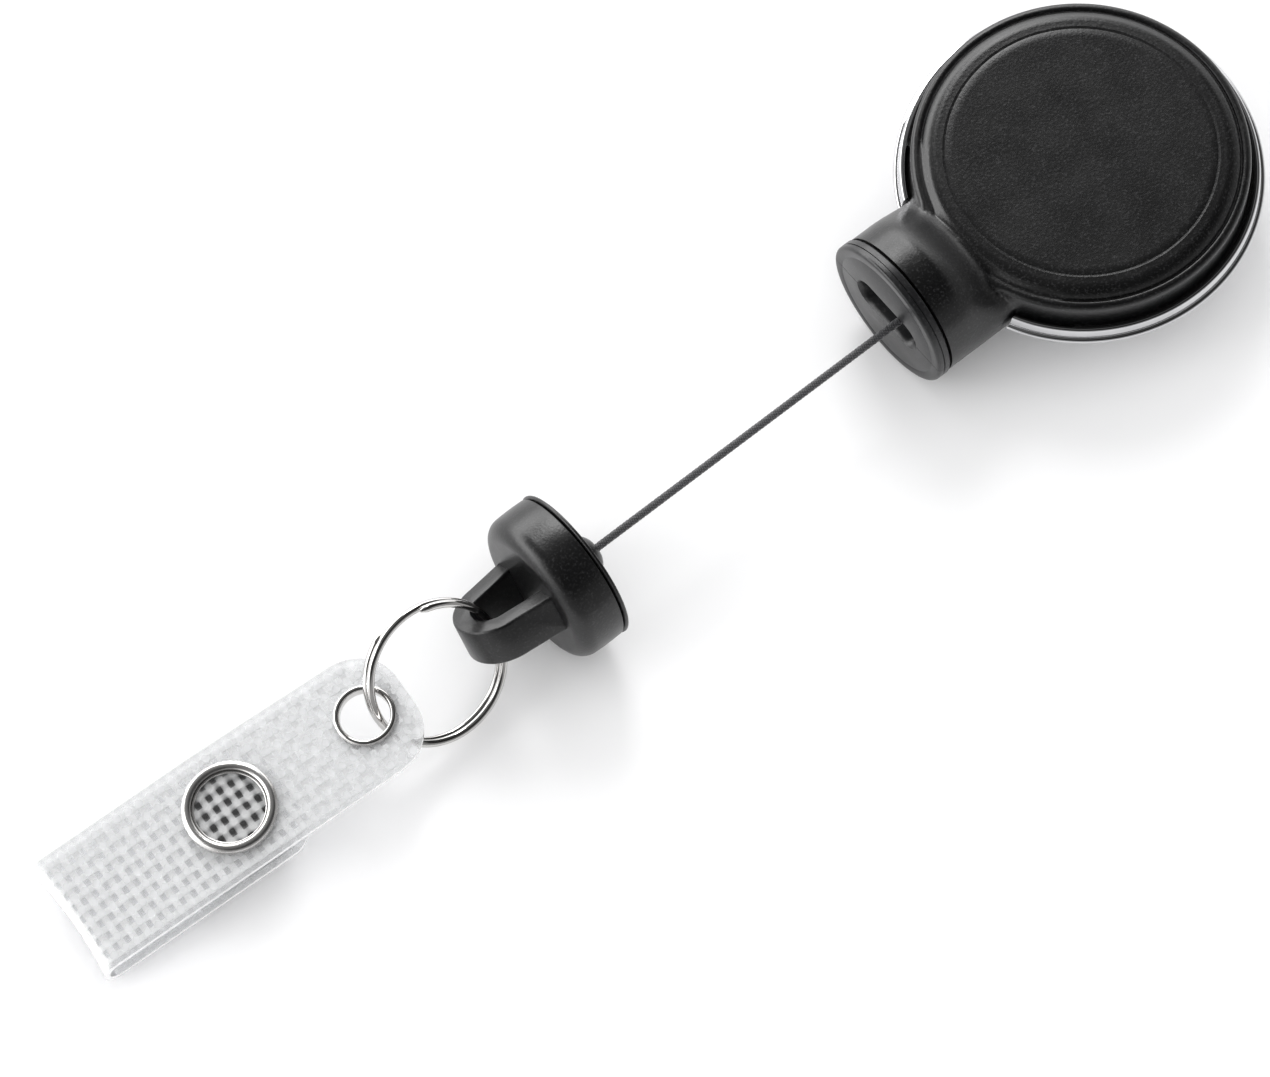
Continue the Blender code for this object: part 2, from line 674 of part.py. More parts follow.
def snap_parts(frame):
    """Ring snap: domed ring and socket on the upper leg, stud and back ring on the tail."""
    over = STRAP_SHEET / 2 + GAP
    ring = [(3.7, 0.0), (3.7, 0.25)] + arc(4.2, 0.3, 0.55, 150, 0, 5) + [(SNAP_RADIUS, 0.0)]
    at_snap = (-SNAP_X, 0, 0)
    smooth(turned("snap_cap_ring", [(r, z + over) for r, z in ring], NICKEL, closed=True,
                  steps=SMALL_SEGMENTS, parent=frame, at=at_snap))
    socket = [(0, -over), (4.2, -over), (4.3, -over - 0.3), (3.9, -over - 0.45), (3.3, -over - 0.5),
              (3.3, -1.5), (3.15, -1.65), (2.2, -1.65), (2.2, -1.0), (0, -1.0)]
    smooth(turned("snap_socket", socket, NICKEL, steps=SMALL_SEGMENTS, parent=frame, at=at_snap))
    tail_top = -TAIL_DROP + over
    stud = [(0, -1.2), (1.2, -1.25), (1.75, -1.4), (1.8, -1.55), (1.55, -1.75), (1.6, tail_top + 0.3),
            (4.1, tail_top + 0.25), (4.2, tail_top), (0, tail_top)]
    smooth(turned("snap_stud", stud, NICKEL, steps=SMALL_SEGMENTS, parent=frame, at=at_snap))
    back = [(r, -TAIL_DROP - over - z) for r, z in reversed(ring)]
    smooth(turned("snap_back_ring", back, NICKEL, closed=True, steps=SMALL_SEGMENTS, parent=frame,
                  at=at_snap))


# ---------------------------------------------------------------- assembly

front_shell()
rear_dish()
case_halves()
guide_pins()
drum()
spring_cover()
cord_winding()
arbor()
power_spring()
pull_cord()
clip_mount()
clip_leaf()
clip_rivet()
cord_knot()

stopper_axis = pivot("stopper_axis", (0, CORD_Y, PULL_Z), (STOPPER_ROLL, 0, 0))
stopper_lid(stopper_axis)
stopper_body(stopper_axis)
split_ring()

strap_frame = pivot("strap_frame", EYELET_CENTRE, (0, STRAP_SLOPE, STRAP_YAW))
eyelet(strap_frame)
strap_front(strap_frame)
strap_tail(strap_frame)
snap_parts(strap_frame)
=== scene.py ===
"""Looks of a retractable badge reel: round case with a neck, pull cord, turning stopper with an eye,
split ring, and a clear woven-core snap strap with an eyelet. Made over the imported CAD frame."""

import json
import math

import bmesh
import bpy
from mathutils import Matrix, Vector
from mathutils.kdtree import KDTree

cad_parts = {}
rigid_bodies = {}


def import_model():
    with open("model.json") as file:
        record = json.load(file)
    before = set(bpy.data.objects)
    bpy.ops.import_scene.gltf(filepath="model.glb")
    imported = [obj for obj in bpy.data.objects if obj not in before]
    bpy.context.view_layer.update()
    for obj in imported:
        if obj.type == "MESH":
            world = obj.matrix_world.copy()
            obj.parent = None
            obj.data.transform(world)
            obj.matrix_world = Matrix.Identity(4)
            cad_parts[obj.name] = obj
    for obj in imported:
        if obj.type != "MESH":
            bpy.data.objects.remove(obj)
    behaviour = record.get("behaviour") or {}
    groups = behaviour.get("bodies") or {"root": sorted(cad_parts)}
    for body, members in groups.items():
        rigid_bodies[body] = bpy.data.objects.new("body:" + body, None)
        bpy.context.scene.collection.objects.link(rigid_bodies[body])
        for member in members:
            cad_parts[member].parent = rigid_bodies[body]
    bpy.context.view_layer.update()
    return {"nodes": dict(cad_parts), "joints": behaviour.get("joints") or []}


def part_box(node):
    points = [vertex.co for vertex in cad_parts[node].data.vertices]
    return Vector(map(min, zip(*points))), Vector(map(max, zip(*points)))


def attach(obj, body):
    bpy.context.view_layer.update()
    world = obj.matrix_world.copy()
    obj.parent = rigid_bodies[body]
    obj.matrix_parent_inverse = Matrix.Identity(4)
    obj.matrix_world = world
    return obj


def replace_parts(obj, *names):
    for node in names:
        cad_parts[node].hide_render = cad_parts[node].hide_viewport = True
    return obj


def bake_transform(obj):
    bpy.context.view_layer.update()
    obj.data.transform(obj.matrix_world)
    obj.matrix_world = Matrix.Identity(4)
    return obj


MM = 0.001

for obj in list(bpy.data.objects):
    bpy.data.objects.remove(obj, do_unlink=True)
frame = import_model()
nodes = frame["nodes"]
joints = {joint["name"]: joint for joint in frame["joints"]}


# ---- camera, floor and light
# A long lens looks down steeply along the object, which lies on a white sweep. One large soft light
# stands low behind the case, and paler light comes from all round with a dim patch overhead.

scene = bpy.context.scene
scene.view_settings.view_transform = "Standard"

CAMERA_AZIMUTH = -39.3
CAMERA_ELEVATION = 66.5
CAMERA_DISTANCE = 0.95
VIEW_WIDTH = 0.1245
SENSOR_WIDTH = 36
AIM = Vector((-0.00518, -0.0026, 0.0073))
LIGHT_DISTANCE = 0.9
LIGHTS = [("key_light", 150, 40, 0.34, 2.9), ("side_light", -120, 35, 0.4, 1.4)]
KEY_SIDE = (-0.25, 0.96, 0.1)
SKY_LEVELS = [(0.0, 0.6), (0.10, 1.2), (0.35, 1.6), (0.46, 1.1), (0.56, 0.12), (0.72, 0.07), (1.0, 0.10)]
FLOOR_DROP = 0.00005


def aim_from(obj, azimuth, elevation, distance):
    """Links an object, stands it out from the middle of the view, and turns it to look back."""
    a, e = math.radians(azimuth), math.radians(elevation)
    back = Vector((math.sin(a) * math.cos(e), -math.cos(a) * math.cos(e), math.sin(e)))
    scene.collection.objects.link(obj)
    obj.location = AIM + back * distance
    obj.rotation_euler = (-back).to_track_quat("-Z", "Y").to_euler()


def feed(tree, node, inputs):
    """Sets each input of a node to its value, or links a socket to it."""
    for name, value in inputs.items():
        if isinstance(value, bpy.types.NodeSocket):
            tree.links.new(value, node.inputs[name])
        else:
            node.inputs[name].default_value = value


def add_node(tree, kind, inputs=None):
    node = tree.nodes.new("ShaderNode" + kind)
    feed(tree, node, inputs or {})
    return node


def shader_nodes(name):
    """A new material with its node tree and its shader."""
    made = bpy.data.materials.new(name)
    made.use_nodes = True
    return made, made.node_tree, made.node_tree.nodes["Principled BSDF"]


def colour_ramp(tree, factor, *stops):
    """A colour ramp through (position, colour) stops."""
    node = add_node(tree, "ValToRGB", {"Fac": factor})
    while len(node.color_ramp.elements) < len(stops):
        node.color_ramp.elements.new(0.5)
    for element, (position, colour) in zip(node.color_ramp.elements, stops):
        element.position = position
        element.color = (*colour, 1.0)
    return node.outputs["Color"]


camera_data = bpy.data.cameras.new("camera")
camera_data.sensor_width = SENSOR_WIDTH
camera_data.lens = SENSOR_WIDTH * CAMERA_DISTANCE / VIEW_WIDTH
camera_data.clip_end = 10
camera = bpy.data.objects.new("camera", camera_data)
aim_from(camera, CAMERA_AZIMUTH, CAMERA_ELEVATION, CAMERA_DISTANCE)
scene.camera = camera

for name, azimuth, elevation, size, power in LIGHTS:
    lamp = bpy.data.lights.new(name, "AREA")
    lamp.shape = "SQUARE"
    lamp.size = size
    lamp.energy = power
    aim_from(bpy.data.objects.new(name, lamp), azimuth, elevation, LIGHT_DISTANCE)

# The black plastic and the bright metal mirror a sky of their own: bright low down towards the key
# light, and dim overhead.
world = bpy.data.worlds.new("studio")
scene.world = world
world.use_nodes = True
tree = world.node_tree
even_light = tree.nodes["Background"]
feed(tree, even_light, {"Color": (1.0, 1.0, 1.0, 1.0), "Strength": 1.0})
direction = add_node(tree, "TexCoord").outputs["Generated"]
upward = add_node(tree, "SeparateXYZ", {0: direction}).outputs["Z"]
sky_level = colour_ramp(tree, upward, *[(position, (level,) * 3) for position, level in SKY_LEVELS])
towards_key = add_node(tree, "VectorMath", {0: direction, 1: KEY_SIDE})
towards_key.operation = "DOT_PRODUCT"
side_level = add_node(tree, "MapRange", {"Value": towards_key.outputs["Value"], "From Min": -0.2,
                                         "From Max": 0.9, "To Min": 0.3, "To Max": 3.6})
mirrored = add_node(tree, "Background", {"Color": sky_level, "Strength": side_level.outputs["Result"]})
is_mirrored = add_node(tree, "LightPath").outputs["Is Glossy Ray"]
sky = add_node(tree, "MixShader", {0: is_mirrored, 1: even_light.outputs[0], 2: mirrored.outputs[0]})
feed(tree, tree.nodes["World Output"], {"Surface": sky.outputs[0]})

floor_bm = bmesh.new()
bmesh.ops.create_grid(floor_bm, x_segments=1, y_segments=1, size=3.0)
bmesh.ops.translate(floor_bm, vec=(0, 0, -FLOOR_DROP), verts=floor_bm.verts)
floor_mesh = bpy.data.meshes.new("floor")
floor_bm.to_mesh(floor_mesh)
floor_bm.free()
floor = bpy.data.objects.new("floor", floor_mesh)
scene.collection.objects.link(floor)
floor_paint, tree, shader = shader_nodes("floor_white")
feed(tree, shader, {"Base Color": (0.9, 0.9, 0.905, 1), "Roughness": 0.9})
floor_mesh.materials.append(floor_paint)


# ---- pull cord
# Black nylon braid, 0.84 mm across, drawn off the drum, round a guide pin and out of the mouth to
# the stopper. Eight strands cross over and under each other round a core.

REEL = Vector((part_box("drum")[0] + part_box("drum")[1])) / 2
PULL_AXIS_Z = (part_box("stopper_lid")[0].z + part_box("stopper_lid")[1].z) / 2
CORD_RADIUS = 0.42 * MM
STRAND_PITCH = 0.8 * MM
STRANDS_EACH_WAY = 4
CORD_ROUTE = [(-8.0, -9.6), (-10.3, -7.7), (-12.6, -5.8), (-14.9, -3.9), (-16.4, -2.65), (-17.6, -1.85),
              (-18.9, -1.42), (-20.4, -1.3), (-23.5, -1.3), (-27.0, -1.3), (-32.0, -1.3), (-38.0, -1.3),
              (-45.0, -1.3), (-52.0, -1.3), (-59.0, -1.3), (-66.55, -1.3)]


def smooth_line(points, per_span):
    """Points on a smooth curve through the given ones."""
    line = []
    for i in range(len(points) - 1):
        before, a = points[max(i - 1, 0)], points[i]
        b, after = points[i + 1], points[min(i + 2, len(points) - 1)]
        for k in range(per_span):
            t = k / per_span
            line.append(0.5 * (2 * a + (b - before) * t + (2 * before - 5 * a + 4 * b - after) * t ** 2
                               + (3 * a - before - 3 * b + after) * t ** 3))
    return line + [points[-1]]


def resampled(line, step):
    """The same line with points an even step apart."""
    lengths = [0.0]
    for a, b in zip(line, line[1:]):
        lengths.append(lengths[-1] + (b - a).length)
    count = max(2, round(lengths[-1] / step))
    result, i = [], 0
    for k in range(count + 1):
        target = lengths[-1] * k / count
        while i < len(line) - 2 and lengths[i + 1] < target:
            i += 1
        share = (target - lengths[i]) / max(lengths[i + 1] - lengths[i], 1e-12)
        result.append(line[i].lerp(line[i + 1], share))
    return result, lengths[-1]


def braid_height(around, along):
    """Height of the braid's surface, 0 to 1: two families of strands that cross over and under."""
    rightward, leftward = around * STRANDS_EACH_WAY + along, around * STRANDS_EACH_WAY - along
    right, left = rightward % 1, leftward % 1
    over = (math.floor(rightward) + math.floor(leftward)) % 2
    high = math.sin(math.pi * (right if over else left))
    low = math.sin(math.pi * (left if over else right)) * 0.55
    return max(high, low)


def braided_tube(line, radius, sides=28):
    """A tube mesh along a line with the braid in its surface, and its UV map along and around it."""
    bm = bmesh.new()
    uv = bm.loops.layers.uv.new("UVMap")
    rings = []
    up = Vector((0, 0, 1))
    step = (line[1] - line[0]).length
    for i, point in enumerate(line):
        along = (line[min(i + 1, len(line) - 1)] - line[max(i - 1, 0)]).normalized()
        side = along.cross(up).normalized()
        top = side.cross(along)
        ring = []
        for j in range(sides):
            angle = 2 * math.pi * j / sides
            rise = braid_height(j / sides, i * step / STRAND_PITCH)
            reach = radius * (0.8 + 0.2 * rise)
            ring.append(bm.verts.new(point + (side * math.cos(angle) + top * math.sin(angle)) * reach))
        rings.append(ring)
    for i in range(len(rings) - 1):
        for j in range(sides):
            k = (j + 1) % sides
            face = bm.faces.new((rings[i][j], rings[i + 1][j], rings[i + 1][k], rings[i][k]))
            face.smooth = True
            corners = ((i, j), (i + 1, j), (i + 1, j + 1), (i, j + 1))
            for loop, (row, column) in zip(face.loops, corners):
                loop[uv].uv = (row * step / STRAND_PITCH, column / sides * STRANDS_EACH_WAY)
    bm.faces.new(rings[0][::-1])
    bm.faces.new(rings[-1])
    bmesh.ops.recalc_face_normals(bm, faces=bm.faces)
    mesh = bpy.data.meshes.new("braid")
    bm.to_mesh(mesh)
    bm.free()
    return mesh


def math_node(tree, operation, *values):
    """A sum of values and sockets."""
    node = add_node(tree, "Math", dict(enumerate(values)))
    node.operation = operation
    return node.outputs[0]


def map_parts(tree):
    """How far a point lies along and across the piece's own map."""
    parts = add_node(tree, "SeparateXYZ", {0: add_node(tree, "TexCoord").outputs["UV"]})
    return parts.outputs["X"], parts.outputs["Y"]


def cord_material():
    """Black braid, shinier on the crowns, with painted highlight on the crowns and painted shade in the
    crossings.
    """
    made, tree, shader = shader_nodes("cord_braid")
    along, around = map_parts(tree)
    right = math_node(tree, "ADD", around, along)
    left = math_node(tree, "SUBTRACT", around, along)
    yarn = []
    for family in (right, left):
        wave = math_node(tree, "SINE", math_node(tree, "MULTIPLY", family, math.tau * 3))
        yarn.append(math_node(tree, "MULTIPLY_ADD", wave, 0.5, 0.5))
    both = math_node(tree, "MULTIPLY", yarn[0], yarn[1])
    bump = add_node(tree, "Bump", {"Height": both, "Strength": 0.5, "Distance": 0.00003})
    # Base colour: painted highlight on the crowns, painted shade in the crossings.
    feed(tree, shader, {
        "Base Color": colour_ramp(tree, both, (0.0, (0.010, 0.010, 0.012)), (0.5, (0.05, 0.05, 0.055)),
                                  (1.0, (0.26, 0.26, 0.27))),
        "Roughness": math_node(tree, "MULTIPLY_ADD", both, -0.25, 0.68), "Normal": bump.outputs["Normal"],
        "Sheen Weight": 0.3})
    return made


def place(name, mesh, body, material):
    """Links a finished mesh as a piece that rides on a body, with the given material."""
    obj = bpy.data.objects.new(name, mesh)
    scene.collection.objects.link(obj)
    mesh.materials.clear()
    mesh.materials.append(material)
    if body:
        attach(obj, body)
    return obj


route = [Vector((REEL.x + x * MM, y * MM, PULL_AXIS_Z)) for x, y in CORD_ROUTE]
cord_line, cord_length = resampled(smooth_line(route, 24), 0.08 * MM)
cord = place("pull_cord_braid", braided_tube(cord_line, CORD_RADIUS), None, cord_material())
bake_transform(cord)
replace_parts(cord, "pull_cord")


# ---- front shell
# Injection-moulded black plastic with a fine sparked grain: a cup with a recessed flat face, a
# stepped shoulder, and a short round neck that swells out of one side.

NECK_AXIS_Z = PULL_AXIS_Z
NECK_RADIUS = 8.0
NECK_WALL = 0.9
NECK_END = -23.3
SHELL_RADIUS = 16.95
FACE_RADIUS = 13.8
FACE_Z = 12.6
NECK_LOW_TOP = 3.9
NECK_EASES = (-21.0, -14.8)
NECK_ROOT = -13.7
SHARP_ANGLE = 40
JOIN_REACH = 0.85 * MM
JOIN_ROUNDS = 14
AT_REEL = Matrix.Translation((REEL.x / MM, 0, 0))
AT_NECK = Matrix.Translation((REEL.x / MM, 0, NECK_AXIS_Z / MM))


def arc(centre_r, centre_z, radius, start, end, count):
    """Points along an arc, from its start angle to its end angle in degrees."""
    angles = [math.radians(start + (end - start) * i / count) for i in range(count + 1)]
    return [(centre_r + radius * math.cos(angle), centre_z + radius * math.sin(angle)) for angle in angles]


def inwards(edge, *points):
    """Profile points given by how far inside an edge they lie, and their height."""
    return [(edge - depth, height) for depth, height in points]


def shade(mesh, sharp=SHARP_ANGLE):
    mesh.shade_smooth()
    mesh.set_sharp_from_angle(angle=math.radians(sharp))
    return mesh


def mesh_of(bm, matrix=None, sharp=SHARP_ANGLE):
    """The bmesh, in millimetres in a local frame, as a smooth-shaded mesh in metres in its place."""
    if matrix is not None:
        bmesh.ops.transform(bm, matrix=matrix, verts=bm.verts)
    bmesh.ops.scale(bm, vec=(MM, MM, MM), verts=bm.verts)
    mesh = bpy.data.meshes.new("made")
    bm.to_mesh(mesh)
    bm.free()
    return shade(mesh, sharp)


def spun(profile, steps=192, matrix=None, closed=False):
    """A (radius, height) profile turned about Z, as a mesh. A closed profile makes a ring."""
    bm = bmesh.new()
    verts = [bm.verts.new((r, 0, z)) for r, z in profile]
    edges = [bm.edges.new(pair) for pair in zip(verts, verts[1:])]
    if closed:
        edges.append(bm.edges.new((verts[-1], verts[0])))
    bmesh.ops.spin(bm, geom=verts + edges, cent=(0, 0, 0), axis=(0, 0, 1), angle=math.tau,
                   steps=steps, use_merge=True, use_duplicate=False)
    bmesh.ops.remove_doubles(bm, verts=bm.verts, dist=1e-4)
    bmesh.ops.recalc_face_normals(bm, faces=bm.faces)
    return mesh_of(bm, matrix)


def boolean(mesh, *steps):
    """A copy of the mesh after unions and cuts, given as (operation, mesh) pairs."""
    made = bpy.data.objects.new("boolean", mesh)
    scene.collection.objects.link(made)
    others = []
    for operation, other_mesh in steps:
        other = bpy.data.objects.new("other", other_mesh)
        scene.collection.objects.link(other)
        modifier = made.modifiers.new("Step", "BOOLEAN")
        modifier.operation = operation
        modifier.object = other
        others.append(other)
    bpy.context.view_layer.update()
    graph = bpy.context.evaluated_depsgraph_get()
    result = bpy.data.meshes.new_from_object(made.evaluated_get(graph))
    for obj in others + [made]:
        bpy.data.objects.remove(obj, do_unlink=True)
    return result


def neck_top(x):
    """Height of the neck's top over its axis: full at the mouth, easing down to the face."""
    t = min(max((x - NECK_EASES[0]) / (NECK_EASES[1] - NECK_EASES[0]), 0.0), 1.0)
    return NECK_RADIUS + (NECK_LOW_TOP - NECK_RADIUS) * t * t * (3 - 2 * t)


def round_bar(segments, radius, length):
    bm = bmesh.new()
    bmesh.ops.create_cone(bm, cap_ends=True, segments=segments, radius1=radius, radius2=radius, depth=length)
    return bm


def neck_solid(start, end, radius, under_top):
    """A round bar along the pull axis whose top follows the neck's."""
    bm = round_bar(128, radius, end - start)
    sides = [edge for edge in bm.edges if abs(edge.verts[0].co.z - edge.verts[1].co.z) > 1e-6]
    bmesh.ops.subdivide_edges(bm, edges=sides, cuts=28, use_grid_fill=True)
    turn = Matrix.Rotation(math.pi / 2, 4, "Y")
    bmesh.ops.transform(bm, matrix=Matrix.Translation(((start + end) / 2, 0, 0)) @ turn, verts=bm.verts)
    for vert in bm.verts:
        if vert.co.z > 0:
            vert.co.z *= (neck_top(vert.co.x) - under_top) / radius
    bmesh.ops.recalc_face_normals(bm, faces=bm.faces)
    return bm


def soften_joins(mesh, inside, corner=20):
    """Rounds the creases that a union leaves, where inside(co) is true, as a mould's radius does."""
    bm = bmesh.new()
    bm.from_mesh(mesh)
    bmesh.ops.triangulate(bm, faces=bm.faces)
    creases = [edge for edge in bm.edges if len(edge.link_faces) == 2 and inside(edge.verts[0].co)
               and inside(edge.verts[1].co) and edge.calc_face_angle(0) > math.radians(corner)]
    finder = KDTree(len(creases))
    for i, edge in enumerate(creases):
        finder.insert((edge.verts[0].co + edge.verts[1].co) / 2, i)
    finder.balance()
    near = [vert for vert in bm.verts if inside(vert.co) and finder.find(vert.co)[2] < JOIN_REACH]
    for _ in range(JOIN_ROUNDS):
        bmesh.ops.smooth_vert(bm, verts=near, factor=0.5, use_axis_x=True, use_axis_y=True, use_axis_z=True)
    bm.to_mesh(mesh)
    bm.free()
    return shade(mesh)


def group_of(name, inputs, outputs):
    """A new node group with its named inputs and outputs, and the nodes that hold them."""
    group = bpy.data.node_groups.new(name, "ShaderNodeTree")
    for in_out, sockets in (("INPUT", inputs), ("OUTPUT", outputs)):
        for socket, kind in sockets.items():
            group.interface.new_socket(socket, in_out=in_out, socket_type="NodeSocket" + kind)
    return group, group.nodes.new("NodeGroupInput").outputs, group.nodes.new("NodeGroupOutput")


def grain_group():
    """Moulded grain: fine peaks of spark-eroded steel, as a normal and a mask of the peaks."""
    group, given, end = group_of("moulded_grain", {"Size": "Float", "Depth": "Float"},
                                 {"Normal": "Vector", "Peaks": "Float", "Cloud": "Float"})
    spot = add_node(group, "TexCoord").outputs["Object"]
    scale = math_node(group, "DIVIDE", 1.0, given["Size"])
    fine = add_node(group, "TexNoise", {"Vector": spot, "Scale": scale, "Detail": 2.5, "Roughness": 0.6})
    cell_scale = math_node(group, "MULTIPLY", scale, 0.8)
    cells = add_node(group, "TexVoronoi", {"Vector": spot, "Scale": cell_scale})
    cloud = add_node(group, "TexNoise", {"Vector": spot, "Scale": 260})
    pits = math_node(group, "MULTIPLY", cells.outputs["Distance"], 0.35)
    height = math_node(group, "SUBTRACT", fine.outputs["Fac"], pits)
    bump = add_node(group, "Bump", {"Height": height, "Strength": 0.6, "Distance": given["Depth"]})
    peaks = math_node(group, "MULTIPLY", math_node(group, "SUBTRACT", fine.outputs["Fac"], 0.54), 6.0)
    peaks = math_node(group, "MINIMUM", math_node(group, "MAXIMUM", peaks, 0.0), 1.0)
    feed(group, end, {"Normal": bump.outputs["Normal"], "Peaks": peaks, "Cloud": cloud.outputs["Fac"]})
    return group


GRAIN = grain_group()


def placed_group(tree, group, inputs):
    node = add_node(tree, "Group")
    node.node_tree = group
    feed(tree, node, inputs)
    return node.outputs


def plastic_material(name, dark, light, roughness, grain_size, depth):
    """Moulded plastic: grain in its normal, painted glints as paler colour on the grain's peaks, and a slow
    change of gloss.
    """
    made, tree, shader = shader_nodes(name)
    grain = placed_group(tree, GRAIN, {"Size": grain_size, "Depth": depth})
    # Base colour: the grain's peaks are painted paler, as painted glints.
    feed(tree, shader, {
        "Base Color": colour_ramp(tree, grain["Peaks"], (0.0, dark), (1.0, light)),
        "Roughness": math_node(tree, "MULTIPLY_ADD", grain["Cloud"], 0.16, roughness - 0.08),
        "Normal": grain["Normal"]})
    return made


def front_shell_mesh():
    """Half the shell's outline from the face's middle to the lip, turned, with the neck joined on."""
    top, edge, side = FACE_Z, FACE_RADIUS, SHELL_RADIUS
    profile = [(0, top)] + [(0.5 + 0.72 * i, top) for i in range(18)]
    profile += inwards(edge, (0.4, top), (0.25, top - 0.05), (0.22, top - 0.055), (0, top + 0.02),
                       (-0.03, top + 0.02), (-0.2, top)) + arc(edge + 0.5, top - 1.9, 1.9, 88, 36, 12)
    profile += inwards(edge, (-2.1, top - 0.98), (-2.2, top - 0.98))
    profile += arc(side - 0.6, top - 1.35, 0.6, 108, 0, 12)
    profile += inwards(side, (0, 10.7), (0, 10.2), (0, 9.6), (0, 9.0), (0, 8.4), (-0.1, 8.2), (-0.35, 8.1),
                       (-0.35, 7.75)) + [(0, 7.7)]
    at_neck = Matrix.Translation((0, 0, NECK_AXIS_Z / MM))
    body = spun(profile)
    neck = mesh_of(neck_solid(NECK_END, NECK_ROOT, NECK_RADIUS, 0.0), at_neck)

    def at_shoulder(co):
        return -0.0195 < co.x < -0.0115 and 0.0079 < co.z < 0.01235

    joined = soften_joins(boolean(body, ("UNION", neck)), at_shoulder)
    cavity = spun([(0, 11.4), (15.6, 11.4), (15.6, -2), (0, -2)], 96)
    bore = mesh_of(neck_solid(NECK_END - 0.5, -11.5, NECK_RADIUS - NECK_WALL, NECK_WALL), at_neck)
    shell = boolean(joined, ("DIFFERENCE", cavity), ("DIFFERENCE", bore))
    shell.transform(Matrix.Translation((REEL.x, 0, 0)))
    return shell


black_plastic = plastic_material("black_moulding", (0.002, 0.002, 0.0022), (0.022, 0.022, 0.023), 0.31,
                                 0.00024, 0.000026)
shell = place("front_shell_moulding", front_shell_mesh(), "housing", black_plastic)
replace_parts(shell, "front_shell")


# ---- mouth of the inner case
# The two halves of the inner case meet at the height of the cord and end in a round flange in front
# of the neck. Each half carries half of the flared slot that the cord runs through.

FLANGE_FACE = -25.05
FLANGE_BACK = -23.6
FLANGE_RADIUS = 8.1
PARTING = 0.06


def along_pull(x):
    """Turns a local +Z into -X, with its foot at x from the reel's axis."""
    return (Matrix.Translation((REEL.x / MM + x, 0, NECK_AXIS_Z / MM))
            @ Matrix.Rotation(-math.pi / 2, 4, "Y"))


def flange_profile():
    """A fine ring in the flange's face, a rounded edge, and a narrow groove round its side."""
    length, edge = FLANGE_BACK - FLANGE_FACE, FLANGE_RADIUS
    profile = [(0, length)] + inwards(edge, (1.3, length), (1.25, length - 0.03), (1.15, length - 0.03),
                                      (1.1, length)) + arc(edge - 0.35, length - 0.35, 0.35, 90, 0, 8)
    profile += inwards(edge, (0, 0.82), (0.1, 0.78), (0.1, 0.7), (0, 0.66), (0, 0.12), (0.1, 0))
    return profile + [(0, 0)]


def slot_solid(sections):
    """A stadium-ended bar lofted through (x, half width, half height) sections."""
    bm = bmesh.new()
    loops = []
    for x, half_width, half_height in sections:
        made = bmesh.ops.create_circle(bm, cap_ends=False, segments=96, radius=1.0)
        for vert in made["verts"]:
            reach = half_width - half_height
            y = vert.co.x * half_height + math.copysign(reach, vert.co.x)
            z = vert.co.y * half_height
            vert.co = (x, y, z)
        loops.append([edge for edge in bm.edges if edge.verts[0] in made["verts"]])
    for first, second in zip(loops, loops[1:]):
        bmesh.ops.bridge_loops(bm, edges=first + second)
    bmesh.ops.holes_fill(bm, edges=[edge for edge in bm.edges if edge.is_boundary])
    bmesh.ops.recalc_face_normals(bm, faces=bm.faces)
    return bm


def block(low, high):
    bm = bmesh.new()
    bmesh.ops.create_cube(bm, size=1.0)
    low, high = Vector(low), Vector(high)
    bmesh.ops.scale(bm, vec=high - low, verts=bm.verts)
    bmesh.ops.translate(bm, vec=(low + high) / 2, verts=bm.verts)
    return bm


def case_half_mesh(upper):
    """The drum chamber's shell, the duct through the neck and the flange, cut at the parting plane."""
    case = [(0, 11.1), (14.7, 11.1)] + arc(14.7, 10.6, 0.5, 80, 0, 6) + [(15.2, 5.8), (13.7, 4.2), (0, 4.2)]
    chamber = [(0, 10.2), (14.3, 10.2), (14.3, 6.2), (13.4, 5.1), (0, 5.1)]
    slot = [(FLANGE_FACE - 0.2, 4.75, 2.25), (FLANGE_FACE + 0.15, 4.4, 1.9), (FLANGE_FACE + 0.5, 4.2, 1.7),
            (-20.5, 4.2, 1.7), (-12.4, 7.0, 1.9)]
    duct = neck_solid(FLANGE_BACK - 0.3, -14.1, NECK_RADIUS - NECK_WALL - 0.3, 1.8)
    post_hole = [(0, 14), (2.5, 14), (2.5, 2), (0, 2)]
    middle = NECK_AXIS_Z / MM
    low, high = (-5, middle + PARTING / 2) if upper else (middle - PARTING / 2, 25)
    return boolean(
        spun(case, 96, AT_REEL), ("UNION", mesh_of(duct, AT_NECK)),
        ("UNION", spun(flange_profile(), 160, along_pull(FLANGE_BACK))),
        ("DIFFERENCE", spun(chamber, 96, AT_REEL)), ("DIFFERENCE", mesh_of(slot_solid(slot), AT_NECK)),
        ("DIFFERENCE", spun(post_hole, 48, AT_REEL)),
        ("DIFFERENCE", mesh_of(block((-30, -20, low), (20, 20, high)), AT_REEL)))


inner_plastic = plastic_material("inner_moulding", (0.008, 0.008, 0.009), (0.03, 0.03, 0.031), 0.34,
                                 0.0003, 0.000012)
for upper, node in ((True, "case_front"), (False, "case_rear")):
    half = shade(case_half_mesh(upper), 35)
    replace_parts(place(node + "_moulding", half, "housing", inner_plastic), node)


# ---- rear dish
# Deep-drawn steel dish, chromed: its edge is rolled outwards into a bead and stands round the shell
# with a dark gap. It is cut away where the neck passes.

DISH_EDGE = 18.55
DISH_FLOOR = 3.0
NOTCH_RADIUS = 8.35
NOTCH_MIDDLE = -18.1


